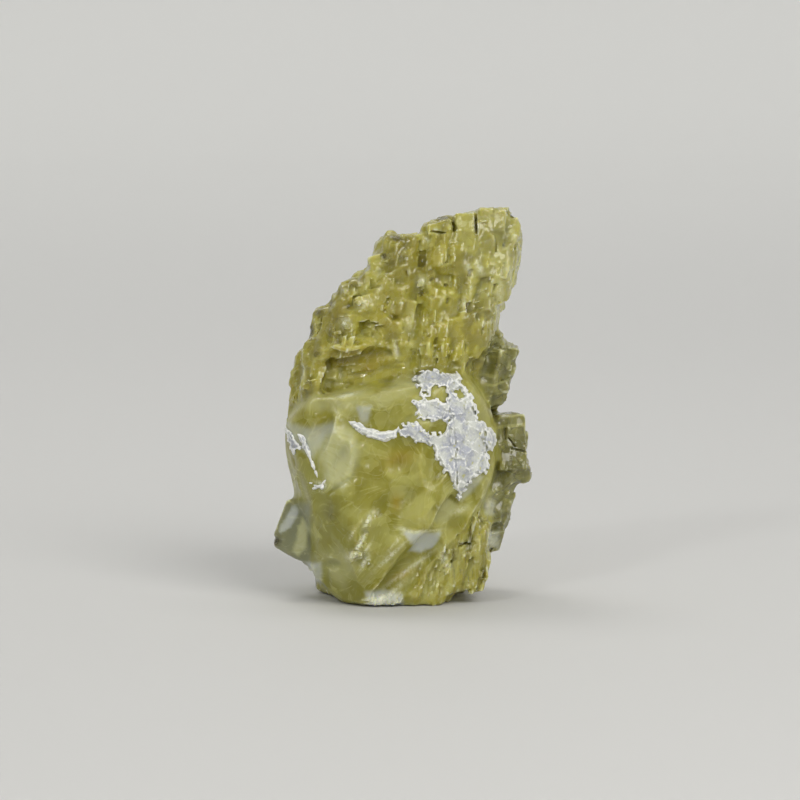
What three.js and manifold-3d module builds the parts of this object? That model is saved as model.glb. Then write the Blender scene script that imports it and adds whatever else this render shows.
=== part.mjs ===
// A calcite aggregate: a cluster of cleavage rhombs grown together into one stone that stands on
// its broken foot. Millimetres, +Z up, the broad broken face towards -Y.
//
// Calcite cleaves along three planes, so a stepped crystal of the cluster is a pile of cells of one
// skewed lattice. It takes the cells whose centres lie inside its outline and between its front
// and back, which leaves the stairs of the real thing. The big front crystal is broken instead: a
// domed body cut by a few broad planes and shell-shaped chips.
import * as THREE from "three";
import { mergeVertices } from "three/addons/utils/BufferGeometryUtils.js";
import Module from "manifold-3d";

const wasm = await Module();
wasm.setup();

// Driving dimensions.
const CLEAVAGE_ANGLE = 78.1; // between the edges of a cleavage face, in degrees
const SMALLEST_CELL = 0.55; // a lattice cell's least width, as a share of the crystal's grain
const LARGEST_CELL = 1.5; // and its greatest
const OVERLAP = 0.1; // how far a run of cells reaches into the cells on either side and behind it
const PROUD_SHARE = 0.12; // the share of runs that stand proud of the lattice lines
const PROUD = 0.8; // and how far they do, at most
const TERRACE_CELLS = 2; // a terrace is this many cells across and up
const TERRACE_DEPTH = 2.4; // and it steps in or out by up to half this many cells
const CELL_DEPTH = 1.2; // as each of its runs does by up to half this many
const REACH = 60; // how far each lattice runs from its middle
const OUTLINE_STEPS = 36; // corners of a domed body's outline
const DOME_RINGS = 6; // rings from its rim to its crown
const CHIP_AROUND = 20; // faces round a shell-shaped chip
const CHIP_UP = 12; // and from its bottom to its top

// Each crystal: the middle of its lattice; its grain, the usual size of a cell across, into the
// stone and up; the turn of the lattice about x, y and z, in degrees; and its lobes. A lobe has
// an outline seen from the front as [x, z] corners; the depth y of its front and back at its
// middle, with how much they lean per millimetre of x and z; and how far they round off towards
// the outline.
const UPPER_CRYSTAL = {
  middle: [-0.4, 0, 60.9],
  grain: [2.5, 1.1, 2.5],
  turn: [-14, -11, -28],
  seed: 12,
  lobes: [
    {
      name: "summit",
      outline: [[4, 70], [5.4, 76], [7.6, 78], [12, 79.2], [18, 79.8], [23.8, 79.4], [23.8, 75.6], [25, 72.6],
        [24.6, 68], [24, 66.4], [22, 63.8], [21.4, 58], [18.4, 53.5], [14, 47], [2, 42], [-3, 46], [1, 60]],
      front: { y: -3.5, perX: 0.1, perZ: 0.16 },
      back: { y: 12, perX: 0, perZ: -0.08 },
      rounding: 4,
    },
    {
      name: "shoulder",
      outline: [[-19.8, 44], [-19, 49], [-17.8, 54], [-16.6, 58], [-13.4, 61.4], [-10.4, 64.4], [-7.6, 66.4],
        [-5, 70], [-4, 73.6], [-1.4, 75.4], [3, 75.2], [5, 74.2], [6, 72], [6, 60], [4, 44], [-8, 40]],
      front: { y: -5, perX: 0.02, perZ: 0.22 },
      back: { y: 9, perX: 0.1, perZ: -0.12 },
      rounding: 4,
    },
    {
      name: "left_flank",
      outline: [[-20.6, 27], [-21.2, 37], [-20.8, 44.5], [-19.4, 50], [-10, 52], [-6, 40], [-8, 25]],
      front: { y: -6.5, perX: -0.25, perZ: 0.1 },
      back: { y: 9, perX: 0.25, perZ: 0 },
      rounding: 3,
    },
  ],
};

const REAR_CRYSTAL = {
  middle: [16, 8, 30],
  grain: [2.4, 1.1, 2.4],
  turn: [-5, 3, -10],
  seed: 41,
  lobes: [
    {
      name: "upper_tab",
      outline: [[10, 36], [18, 36.6], [20, 39.6], [21, 42.4], [23.4, 44.8], [24.8, 48], [25.2, 51.4],
        [24.8, 53], [20.4, 53], [16, 56], [8, 56], [4, 44]],
      front: { y: 3.5, perX: 0.12, perZ: 0 },
      back: { y: 14, perX: -0.15, perZ: 0 },
      rounding: 2.5,
    },
    {
      name: "plate",
      outline: [[10, 22], [22, 23.6], [26.4, 25.2], [25.8, 30], [26, 34.4], [24.6, 36.2], [22, 36.2],
        [19, 36], [17, 40], [8, 42], [4, 30]],
      front: { y: 2.5, perX: 0.1, perZ: 0.05 },
      back: { y: 14.5, perX: -0.2, perZ: 0 },
      rounding: 2,
    },
    {
      name: "stair",
      outline: [[4, -1], [12, 2], [16.4, 5], [18.4, 8.6], [20.6, 10.2], [20.8, 15.4], [22.8, 17.4],
        [22.8, 20], [23.6, 24.6], [8, 28], [0, 14]],
      front: { y: 2, perX: 0.08, perZ: 0 },
      back: { y: 14, perX: -0.2, perZ: 0.05 },
      rounding: 2.5,
    },
  ],
};

const RIBBED_CRYSTAL = {
  middle: [12, -6, 10],
  grain: [1.5, 1, 6],
  turn: [-4, 2, 4],
  seed: 71,
  lobes: [
    {
      name: "ribbed_foot",
      outline: [[2, -1], [8.4, -1], [11, 1.8], [17.6, 3.8], [18, 9], [17.4, 14], [15.4, 22], [9, 22],
        [4, 12]],
      front: { y: -9.5, perX: 0.25, perZ: 0.1 },
      back: { y: 8, perX: 0, perZ: 0 },
      rounding: 1.5,
    },
  ],
};

const BACK_CRYSTAL = {
  middle: [0, 8, 30],
  grain: [4, 2, 4.6],
  turn: [5, -5, 14],
  seed: 83,
  lobes: [
    {
      name: "back_mass",
      outline: [[-15, -1], [-17, 14], [-18, 30], [-15, 46], [-9, 58], [2, 64], [12, 58], [15, 44], [17, 28],
        [15, 12], [11, -1]],
      front: { y: -4, perX: 0, perZ: 0.02 },
      back: { y: 17, perX: 0, perZ: -0.14 },
      rounding: 7,
    },
    {
      name: "left_foot",
      outline: [[-10.6, -1], [-12.6, 3], [-15.6, 6.6], [-19.5, 18], [-20.5, 30], [-8, 32], [-4, 14],
        [-6, -1]],
      front: { y: -3, perX: -0.5, perZ: 0 },
      back: { y: 11, perX: 0.3, perZ: 0 },
      rounding: 3,
    },
  ],
};

// The broken front crystal: its outline, the depth of its rim, and how far it bulges each way.
const FRONT_BODY = {
  outline: [[-22.6, 37], [-23.4, 32], [-23, 26], [-21.6, 20], [-19.4, 12], [-17.6, 6], [-14.2, 1.6],
    [-10.5, -2], [-4, -3], [2, -1], [6.5, 5.5], [11.6, 12], [16.4, 18], [19.4, 25.5], [20.4, 33.5],
    [18, 41.5], [14, 47], [8, 50], [1, 50], [-6, 48], [-13, 46], [-19, 42.5]],
  rim: 0,
  front: 24,
  back: 9,
};

// Where the front crystal broke: a point on each plane and the way it faces.
const BREAKS = [
  { at: [-3, -16.6, 22], facing: [-0.06, -1, 0.08] }, // the broad face
  { at: [-3, -15.4, 35], facing: [-0.12, -0.9, 0.42] }, // above its ridge
  { at: [-8, -10, 43.4], facing: [-0.15, -0.14, 1] }, // the ledge behind the lip
  { at: [11, -13, 30], facing: [0.46, -0.88, 0.14] }, // the crusted side
  { at: [17, -8, 33], facing: [0.86, -0.48, 0.1] }, // its edge
  { at: [-17, -11, 30], facing: [-0.62, -0.78, 0.1] }, // the left side
  { at: [-21, -2, 24], facing: [-0.94, -0.28, -0.2] }, // and round to the back
  { at: [-15, -9, 10], facing: [-0.7, -0.64, -0.34] }, // the left foot
  { at: [-7, -14, 6], facing: [-0.08, -0.93, -0.34] }, // the toe
  { at: [9.5, -12, 14], facing: [0.55, -0.72, -0.42] }, // the lower right
];

// Shell-shaped chips out of it: each an ellipsoid's middle, its half-widths across, into the stone
// and up, and its lean to the right, in degrees.
const CHIPS = [
  { at: [5, -20.6, 9.6], halves: [5.6, 8.6, 14], lean: 46 },
  { at: [1.5, -17.6, 1], halves: [4.6, 6, 10], lean: 60 },
  { at: [13.5, -17.4, 20], halves: [5, 8, 10], lean: 36 },
  { at: [-18, -18.4, 42], halves: [9, 8, 6], lean: -70 },
  { at: [-12, -22.6, 12], halves: [6, 9, 14], lean: -24 },
];

// The hollow that undercuts the upper crystal above the ledge: a cleavage block's middle and size.
const HOLLOW = { at: [-5.5, -9.5, 47.4], size: [20, 10, 8], turn: [-8, -8, -8] };

// The pale splinters low on the left: each a plate with its outline, the depth of its front face,
// its thickness, and the planes that sharpen it.
const SPLINTERS = [
  {
    outline: [[-20.6, 21.4], [-22.3, 19.2], [-24.6, 14.6], [-26.2, 11.6], [-26, 10], [-22.8, 9], [-20.6, 7.6],
      [-17.5, 8], [-14, 14], [-15, 21]],
    front: -3,
    thickness: 9,
    breaks: [
      { at: [-24, -1.4, 13], facing: [-0.62, -0.78, 0.1] },
      { at: [-24, 3, 13], facing: [-0.5, 0.84, 0.2] },
      { at: [-20, -3.4, 10], facing: [-0.1, -0.9, -0.4] },
    ],
  },
  {
    outline: [[-13, 12], [-18, 8.6], [-17.8, 6], [-14.6, 4.8], [-12.5, 2], [-6, 6], [-7, 12]],
    front: -8,
    thickness: 12,
    breaks: [
      { at: [-15.5, -6.6, 7], facing: [-0.55, -0.8, -0.2] },
      { at: [-16, 0, 6], facing: [-0.6, 0.78, 0.2] },
    ],
  },
];

// A repeatable stream of numbers from 0 to 1: the mulberry32 generator.
function randomStream(seed) {
  let state = seed * 2654435761;
  return () => {
    state = (state + 0x6d2b79f5) | 0;
    let t = Math.imul(state ^ (state >>> 15), 1 | state);
    t = (t + Math.imul(t ^ (t >>> 7), 61 | t)) ^ t;
    return ((t ^ (t >>> 14)) >>> 0) / 4294967296;
  };
}

// A closed geometry as a solid that can be joined and cut.
function solidOf(geometry) {
  const bare = new THREE.BufferGeometry();
  bare.setAttribute("position", geometry.getAttribute("position"));
  bare.setIndex(geometry.getIndex());
  const merged = mergeVertices(bare);
  return new wasm.Manifold(
    new wasm.Mesh({
      numProp: 3,
      vertProperties: new Float32Array(merged.getAttribute("position").array),
      triVerts: new Uint32Array(merged.getIndex().array),
    }),
  );
}

// A solid's surface as a geometry.
function geometryOf(solid) {
  const mesh = solid.getMesh();
  const geometry = new THREE.BufferGeometry();
  geometry.setAttribute("position", new THREE.BufferAttribute(new Float32Array(mesh.vertProperties), 3));
  geometry.setIndex(new THREE.BufferAttribute(new Uint32Array(mesh.triVerts), 1));
  return geometry;
}

// The outermost skin of a surface alone: any gap sealed inside the stone is filled by leaving its
// walls out. Corners that share a triangle belong to one skin.
function outermostSkin(geometry) {
  const index = Array.from(geometry.getIndex().array);
  const position = geometry.getAttribute("position");
  const leader = Array.from({ length: position.count }, (_, i) => i);
  const leaderOf = (i) => {
    while (leader[i] !== i) {
      leader[i] = leader[leader[i]];
      i = leader[i];
    }
    return i;
  };
  for (let t = 0; t < index.length; t += 3) {
    leader[leaderOf(index[t + 1])] = leaderOf(index[t]);
    leader[leaderOf(index[t + 2])] = leaderOf(index[t]);
  }
  let highest = 0;
  for (let i = 0; i < position.count; i++) {
    if (position.getZ(i) > position.getZ(highest)) highest = i;
  }
  const skin = leaderOf(highest);
  geometry.setIndex(index.filter((corner) => leaderOf(corner) === skin));
  return geometry;
}

// The three edge directions of a cleavage rhomb: across, into the stone and up. Each pair meets at
// the cleavage angle or at 180 degrees less it.
function cleavageEdges(turn) {
  const c = Math.cos(THREE.MathUtils.degToRad(CLEAVAGE_ANGLE));
  const s = Math.sin(THREE.MathUtils.degToRad(CLEAVAGE_ANGLE));
  const inX = -c;
  const inZ = (c + c * c) / s;
  const inY = Math.sqrt(1 - inX * inX - inZ * inZ);
  const turned = new THREE.Matrix4().makeRotationFromEuler(
    new THREE.Euler(...turn.map(THREE.MathUtils.degToRad), "ZYX"),
  );
  const unturned = [new THREE.Vector3(1, 0, 0), new THREE.Vector3(inX, inY, inZ), new THREE.Vector3(c, 0, s)];
  return unturned.map((edge) => edge.applyMatrix4(turned));
}

// Uneven lattice lines from -REACH to REACH, a grain apart on average.
function latticeLines(grain, random) {
  const lines = [-REACH];
  while (lines.at(-1) < REACH) {
    lines.push(lines.at(-1) + grain * (SMALLEST_CELL + (LARGEST_CELL - SMALLEST_CELL) * random()));
  }
  return lines;
}

// How far [x, z] lies inside an outline: its distance to the nearest edge, negative outside.
function depthInside(outline, x, z) {
  let inside = false;
  let nearest = Infinity;
  outline.forEach(([x1, z1], i) => {
    const [x0, z0] = outline.at(i - 1);
    if (z1 > z !== z0 > z && x < ((x0 - x1) * (z - z1)) / (z0 - z1) + x1) inside = !inside;
    const along = ((x - x0) * (x1 - x0) + (z - z0) * (z1 - z0)) / ((x1 - x0) ** 2 + (z1 - z0) ** 2);
    const t = THREE.MathUtils.clamp(along, 0, 1);
    nearest = Math.min(nearest, Math.hypot(x - x0 - t * (x1 - x0), z - z0 - t * (z1 - z0)));
  });
  return inside ? nearest : -nearest;
}

// The outline's mean corner, at depth 0.
function middleOf(outline) {
  const sum = outline.reduce(([x, z], corner) => [x + corner[0], z + corner[1]], [0, 0]);
  return new THREE.Vector3(sum[0] / outline.length, 0, sum[1] / outline.length);
}

// A box between two corners.
function boxBetween(low, high) {
  const geometry = new THREE.BoxGeometry(2, 2, 2);
  const position = geometry.getAttribute("position");
  for (let v = 0; v < position.count; v++) {
    const corner = [position.getX(v), position.getY(v), position.getZ(v)];
    position.setXYZ(v, ...corner.map((side, axis) => (side < 0 ? low[axis] : high[axis])));
  }
  return solidOf(geometry);
}

// A solid made along three square axes, skewed onto the lattice edges about the lattice's middle.
function ontoLattice(solid, middle, turn) {
  const skew = new THREE.Matrix4().makeBasis(...cleavageEdges(turn)).setPosition(...middle);
  return solidOf(geometryOf(solid).applyMatrix4(skew));
}

// Whether a lobe holds a point, its front and back moved into the stone by setBack.
function lobeHolds({ outline, front, back, rounding }, point, setBack) {
  const inside = depthInside(outline, point.x, point.z);
  if (inside < 0) return false;
  const centre = middleOf(outline);
  const depthOf = (face) => face.y + face.perX * (point.x - centre.x) + face.perZ * (point.z - centre.z);
  const rounded = rounding * Math.max(0, 1 - inside / rounding) ** 2;
  return point.y > depthOf(front) + setBack + rounded && point.y < depthOf(back) + setBack - rounded;
}

// One crystal: the runs of lattice cells along the inward edge that lie inside its lobes.
function steppedCrystal({ middle, grain, turn, seed, lobes }) {
  const random = randomStream(seed);
  const edges = cleavageEdges(turn);
  const [across, inward, up] = grain.map((size) => latticeLines(size, random));
  const centreOf = (i, k, j) => {
    const centre = new THREE.Vector3(...middle);
    centre.addScaledVector(edges[0], (across[i] + across[i + 1]) / 2);
    centre.addScaledVector(edges[1], (inward[k] + inward[k + 1]) / 2);
    return centre.addScaledVector(edges[2], (up[j] + up[j + 1]) / 2);
  };
  const terraces = new Map();
  const terraceAt = (i, j) => {
    const key = Math.floor(i / TERRACE_CELLS) * across.length + Math.floor(j / TERRACE_CELLS);
    if (!terraces.has(key)) terraces.set(key, random() - 0.5);
    return terraces.get(key);
  };
  const runs = [];
  for (let i = 0; i + 1 < across.length; i++) {
    for (let j = 0; j + 1 < up.length; j++) {
      const setBack = grain[1] * (TERRACE_DEPTH * terraceAt(i, j) + CELL_DEPTH * (random() - 0.5));
      const proud = random() < PROUD_SHARE ? PROUD * random() : 0;
      const cells = inward
        .slice(0, -1)
        .map((_, k) => k)
        .filter((k) => lobes.some((lobe) => lobeHolds(lobe, centreOf(i, k, j), setBack)));
      if (cells.length === 0) continue;
      const low = [across[i] - OVERLAP, inward[cells[0]] - proud, up[j]];
      const high = [across[i + 1] + OVERLAP, inward[cells.at(-1) + 1] + OVERLAP, up[j + 1]];
      runs.push(boxBetween(low, high));
    }
  }
  return ontoLattice(wasm.Manifold.union(runs), middle, turn);
}

// A closed body domed to the front and the back over a smooth outline that runs anticlockwise from
// the front. Each ring of a dome lies at a share of the way from the outline's middle to its edge,
// and bulges by (1 - share^3)^(1/2).
function domedBody({ outline, rim, front, back }) {
  const corners = outline.map(([x, z]) => new THREE.Vector3(x, 0, z));
  const loop = new THREE.CatmullRomCurve3(corners, true).getPoints(OUTLINE_STEPS).slice(0, -1);
  const middle = middleOf(outline);
  const shareOf = (r) => Math.sin(((r + 1) / DOME_RINGS) * (Math.PI / 2));
  const ringShares = Array.from({ length: DOME_RINGS - 1 }, (_, r) => shareOf(r));
  const rings = [
    ...ringShares.map((share) => ({ share, bulge: -front })),
    { share: 1, bulge: 0 },
    ...ringShares.reverse().map((share) => ({ share, bulge: back })),
  ];
  const points = [middle.x, rim - front, middle.z];
  for (const { share, bulge } of rings) {
    for (const corner of loop) {
      const p = middle.clone().lerp(corner, share);
      points.push(p.x, rim + bulge * Math.sqrt(1 - share ** 3), p.z);
    }
  }
  points.push(middle.x, rim + back, middle.z);
  const backTip = points.length / 3 - 1;
  const lastRing = backTip - loop.length;
  const faces = [];
  for (let a = 0; a < loop.length; a++) {
    const b = (a + 1) % loop.length;
    faces.push(0, 1 + a, 1 + b);
    for (let near = 1; near < lastRing; near += loop.length) {
      const far = near + loop.length;
      faces.push(near + a, far + a, far + b, near + a, far + b, near + b);
    }
    faces.push(lastRing + a, backTip, lastRing + b);
  }
  const geometry = new THREE.BufferGeometry();
  geometry.setAttribute("position", new THREE.Float32BufferAttribute(points, 3));
  geometry.setIndex(faces);
  return solidOf(geometry);
}

// A plate of the stone with sharpened edges.
function splinter({ outline, front, thickness, breaks }) {
  const shape = new THREE.Shape(outline.map(([x, z]) => new THREE.Vector2(x, z)));
  const plate = new THREE.ExtrudeGeometry(shape, { depth: thickness, bevelEnabled: false });
  plate.rotateX(Math.PI / 2).translate(0, front + thickness, 0);
  return breaks.reduce(cleave, solidOf(plate));
}

// Takes away what lies beyond a plane through a point.
function cleave(solid, { at, facing }) {
  const side = 4 * REACH;
  const direction = new THREE.Vector3(...facing).normalize();
  const waste = new THREE.BoxGeometry(side, side, side).translate(0, 0, side / 2);
  waste.applyQuaternion(new THREE.Quaternion().setFromUnitVectors(new THREE.Vector3(0, 0, 1), direction));
  waste.translate(...at);
  return solid.subtract(solidOf(waste));
}

// Takes a shell-shaped chip off a solid.
function chip(solid, { at, halves, lean }) {
  const shell = new THREE.SphereGeometry(1, CHIP_AROUND, CHIP_UP).scale(...halves);
  shell.rotateY(THREE.MathUtils.degToRad(lean)).translate(...at);
  return solid.subtract(solidOf(shell));
}

const hollow = ontoLattice(
  boxBetween(HOLLOW.size.map((size) => -size / 2), HOLLOW.size.map((size) => size / 2)),
  HOLLOW.at,
  HOLLOW.turn,
);
const cluster = wasm.Manifold.union([
  CHIPS.reduce(chip, BREAKS.reduce(cleave, domedBody(FRONT_BODY))),
  steppedCrystal(UPPER_CRYSTAL).subtract(hollow),
  steppedCrystal(REAR_CRYSTAL),
  steppedCrystal(RIBBED_CRYSTAL),
  steppedCrystal(BACK_CRYSTAL),
  ...SPLINTERS.map(splinter),
]);
const standing = cleave(cluster, { at: [0, 0, 0], facing: [0, 0, -1] });

const stone = new THREE.Mesh(
  outermostSkin(geometryOf(standing)),
  new THREE.MeshStandardMaterial({ color: 0xb9b06a, roughness: 0.35, metalness: 0 }),
);
stone.name = "calcite_aggregate";
stone.geometry.computeBoundingBox();
const box = stone.geometry.boundingBox;
stone.position.set(-(box.min.x + box.max.x) / 2, -(box.min.y + box.max.y) / 2, -box.min.z);

const group = new THREE.Group();
group.add(stone);
export default group;
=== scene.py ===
"""A calcite aggregate: stepped honey-yellow cleavage rhombs grown together above a broad
shell-like break, with a white crust on its right and pale splinters at its foot.

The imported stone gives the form. Its skin is turned into a field of distances on a cubic grid,
small cleavage blocks and shell-shaped chips are joined to it and cut from it there, and the
finished skin is drawn again from the field. Metres in Blender, millimetres in the field, +Z up,
the broad broken face towards -Y.
"""

import functools
import itertools

import bmesh
import bpy
import numpy as np
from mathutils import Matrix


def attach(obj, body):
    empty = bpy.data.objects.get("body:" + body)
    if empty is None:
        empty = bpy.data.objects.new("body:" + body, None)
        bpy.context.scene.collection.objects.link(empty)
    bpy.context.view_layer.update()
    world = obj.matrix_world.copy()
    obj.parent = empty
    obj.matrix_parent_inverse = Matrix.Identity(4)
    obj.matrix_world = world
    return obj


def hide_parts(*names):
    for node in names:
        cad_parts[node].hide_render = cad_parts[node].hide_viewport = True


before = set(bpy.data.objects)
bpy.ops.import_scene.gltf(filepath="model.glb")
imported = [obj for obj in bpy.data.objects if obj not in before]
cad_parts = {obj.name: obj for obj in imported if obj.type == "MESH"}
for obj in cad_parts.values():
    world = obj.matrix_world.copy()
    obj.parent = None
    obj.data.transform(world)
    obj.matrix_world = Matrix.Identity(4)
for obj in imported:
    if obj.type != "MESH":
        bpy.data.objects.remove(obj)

import openvdb
from bpy.props import FloatProperty, FloatVectorProperty, IntProperty, PointerProperty
from mathutils import Vector

bl_info = {
    "name": "Calcite aggregate",
    "version": (1, 0, 0),
    "blender": (4, 5, 0),
    "location": "3D View > Sidebar > Calcite",
    "description": "Builds a calcite aggregate with its crust and a plain studio",
    "category": "Object",
}

NODE = "calcite_aggregate"
MM = 0.001
BAND = 2.0  # how far from its skin a field is true, in millimetres
NEAR = 1.9  # a little less, so that what is read or changed there is true

CELLS = 32  # cells of random numbers repeat after so many
CORNERS = [(k & 1, k >> 1 & 1, k >> 2) for k in range(8)]  # the corners of a cubic cell

# The cleavage lattice of each crystal: the turn of its edges about x, y and z in degrees; the
# widths of its large blocks, and how far they stand out or in; then, for coarse and for fine
# steps, how many stand on each square centimetre of its faces, the least and the most of their
# half-widths, and of how far they stand proud, in millimetres. The widths and the half-widths are
# across, into the stone and up.
CLEAVAGE_ANGLE = 78.1
CRYSTALS = {
    "upper": {
        "turn": (-14, -11, -28),
        "blocks": (2.8, 3.4, 3.6),
        "lift": 0.16,
        "coarse": {"per_cm2": 7, "halves": ((0.9, 3.4), (0.8, 1.6), (0.9, 3.4)), "relief": (0.05, 0.34)},
        "fine": {"per_cm2": 60, "halves": ((0.15, 1.3), (0.4, 0.8), (0.15, 1.6)), "relief": (0.03, 0.15)},
    },
    "rear": {
        "turn": (-5, 3, -10),
        "blocks": (3.2, 3.6, 4.0),
        "lift": 0.34,
        "coarse": {"per_cm2": 8, "halves": ((0.8, 2.4), (0.8, 1.6), (0.8, 2.8)), "relief": (0.06, 0.3)},
        "fine": {"per_cm2": 26, "halves": ((0.3, 1.6), (0.4, 0.8), (0.15, 0.6)), "relief": (0.03, 0.13)},
    },
    "ribbed": {
        "turn": (-4, 2, 4),
        "blocks": (1.3, 3.0, 7.0),
        "lift": 0.20,
        "coarse": {"per_cm2": 8, "halves": ((0.4, 1.2), (0.6, 1.2), (1.5, 4.0)), "relief": (0.06, 0.22)},
        "fine": {"per_cm2": 70, "halves": ((0.15, 0.4), (0.4, 0.8), (0.5, 2.6)), "relief": (0.05, 0.17)},
    },
    "back": {
        "turn": (5, -5, 14),
        "blocks": (3.6, 4.0, 4.0),
        "lift": 0.30,
        "coarse": {"per_cm2": 8, "halves": ((1.0, 3.2), (0.8, 2.2), (1.0, 3.2)), "relief": (0.2, 0.7)},
        "fine": {"per_cm2": 24, "halves": ((0.3, 1.4), (0.4, 0.8), (0.2, 1.2)), "relief": (0.05, 0.2)},
    },
    "hollow": {
        "turn": (-8, -8, -8),
        "blocks": (4.5, 3.0, 1.6),
        "lift": 0.10,
        "coarse": {"per_cm2": 6, "halves": ((0.8, 3.2), (0.8, 1.6), (0.4, 1.4)), "relief": (0.1, 0.3)},
        "fine": {"per_cm2": 20, "halves": ((0.3, 2.2), (0.4, 0.8), (0.1, 0.4)), "relief": (0.03, 0.1)},
    },
}
BROKEN = "broken"
KINDS = (*CRYSTALS, BROKEN)


# ---------------------------------------------------------------------------------------------
# Numbers and fields


def cleavage_edges(turn):
    """The three unit edges of a cleavage rhomb: across, into the stone and up. Each pair meets at
    the cleavage angle or at 180 degrees less it; then all are turned about x, y and z."""
    c, s = np.cos(np.radians(CLEAVAGE_ANGLE)), np.sin(np.radians(CLEAVAGE_ANGLE))
    inward_z = (c + c * c) / s
    inward = (-c, np.sqrt(1 - c * c - inward_z * inward_z), inward_z)
    unturned = np.array([(1, 0, 0), inward, (c, 0, s)])
    (cx, cy, cz), (sx, sy, sz) = np.cos(np.radians(turn)), np.sin(np.radians(turn))
    about_x = np.array([(1, 0, 0), (0, cx, -sx), (0, sx, cx)])
    about_y = np.array([(cy, 0, sy), (0, 1, 0), (-sy, 0, cy)])
    about_z = np.array([(cz, -sz, 0), (sz, cz, 0), (0, 0, 1)])
    return unturned @ (about_z @ about_y @ about_x).T


def cleavage_planes(edges):
    """The unit normals of a rhomb's three pairs of faces: each is square to the other two edges
    and points along its own."""
    across, inward, up = edges
    normals = np.array([np.cross(inward, up), np.cross(up, across), np.cross(across, inward)])
    normals *= np.sign((normals * edges).sum(axis=1, keepdims=True))
    return normals / np.linalg.norm(normals, axis=1, keepdims=True)


def smoothstep(low, high, value):
    """0 below low, 1 above high, and 3t^2 - 2t^3 between."""
    t = np.clip((value - low) / (high - low), 0, 1)
    return t * t * (3 - 2 * t)


def cloud(points, size, seed):
    """A smooth random cloud from -1 to 1: random numbers on a cubic lattice with cells of the
    given size, blended between a cell's eight corners by 3t^2 - 2t^3."""
    table = np.random.default_rng(seed).uniform(-1, 1, (CELLS, CELLS, CELLS)).astype(np.float32)
    place = points / size
    cell = np.floor(place).astype(np.int64)
    t = (place - cell).astype(np.float32)
    t = t * t * (3 - 2 * t)
    total = np.zeros(len(points), np.float32)
    for corner in CORNERS:
        weight = np.ones(len(points), np.float32)
        for axis in range(3):
            weight *= t[:, axis] if corner[axis] else 1 - t[:, axis]
        total += weight * table[tuple(((cell + corner) % CELLS).T)]
    return total


def rough_cloud(points, size, seed, octaves=3):
    """Clouds added up, each half the size and half the height of the one before."""
    total = sum(cloud(points, size / 2**k, seed + k) / 2**k for k in range(octaves))
    return total / sum(1 / 2**k for k in range(octaves))


def swell(points, height, size, seed):
    """A rough cloud from a height below 0 to as much above."""
    return height * rough_cloud(points, size, seed)


def scattered_cells(place, size, seed, straight=False):
    """The cells round points scattered one to a cube or a square of a size: for each place the
    number of its cell, the way from the cell's point to it, and how much nearer that point is
    than the next. Straight cells measure only along the axis where a point is furthest."""
    axes = place.shape[1]
    sides = (CELLS,) * axes
    offsets = np.random.default_rng(seed).random((*sides, axes))
    home = np.floor(place / size).astype(int)
    nearest, second = np.full(len(place), np.inf), np.full(len(place), np.inf)
    cell, way = np.zeros(len(place), int), np.zeros_like(place)
    for step in itertools.product((-1, 0, 1), repeat=axes):
        at = home + step
        number = tuple((at % CELLS).T)
        away = place - (at + offsets[number]) * size
        reach = np.abs(away).max(axis=1) if straight else np.linalg.norm(away, axis=1)
        closer = reach < nearest
        second = np.where(closer, nearest, np.minimum(second, reach))
        nearest = np.where(closer, reach, nearest)
        cell = np.where(closer, np.ravel_multi_index(number, sides), cell)
        way = np.where(closer[:, None], away, way)
    return cell, way, second - nearest


# The features of the broad face are described as seen from the front, by an eye so far away, turned
# to a middle and looking down so many degrees, with sizes true at a distance just before it.
EYE = {"away": 912.0, "middle": (-0.52, 0.0, 40.5), "lean": 7.0, "true_at": 889.0}
DRAWN_MIDDLE = (-0.1, 41.4)  # where the middle is drawn: across, and up from the foot


def eye_axes():
    """Where the eye is, and its directions to the right, up and forward."""
    lean = np.radians(EYE["lean"])
    right, forward = np.array([1.0, 0, 0]), np.array([0, np.cos(lean), -np.sin(lean)])
    return EYE["middle"] - forward * EYE["away"], right, np.cross(right, forward), forward


def seen_from_front(points):
    """Where each point is drawn as seen from the front: across and up, each its distance off the
    line of sight over its distance ahead, times the distance at which sizes are true."""
    eye, right, up, forward = eye_axes()
    from_eye = points - eye
    ahead = from_eye @ forward / EYE["true_at"]
    return np.stack([from_eye @ right / ahead, from_eye @ up / ahead], axis=1) + DRAWN_MIDDLE


LEAST_CORNERS = 60  # a crumb with fewer corners is left out
RHOMB_REACH = 1.25  # the most that a rhomb's corner is off its middle, over its halves' length


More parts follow.
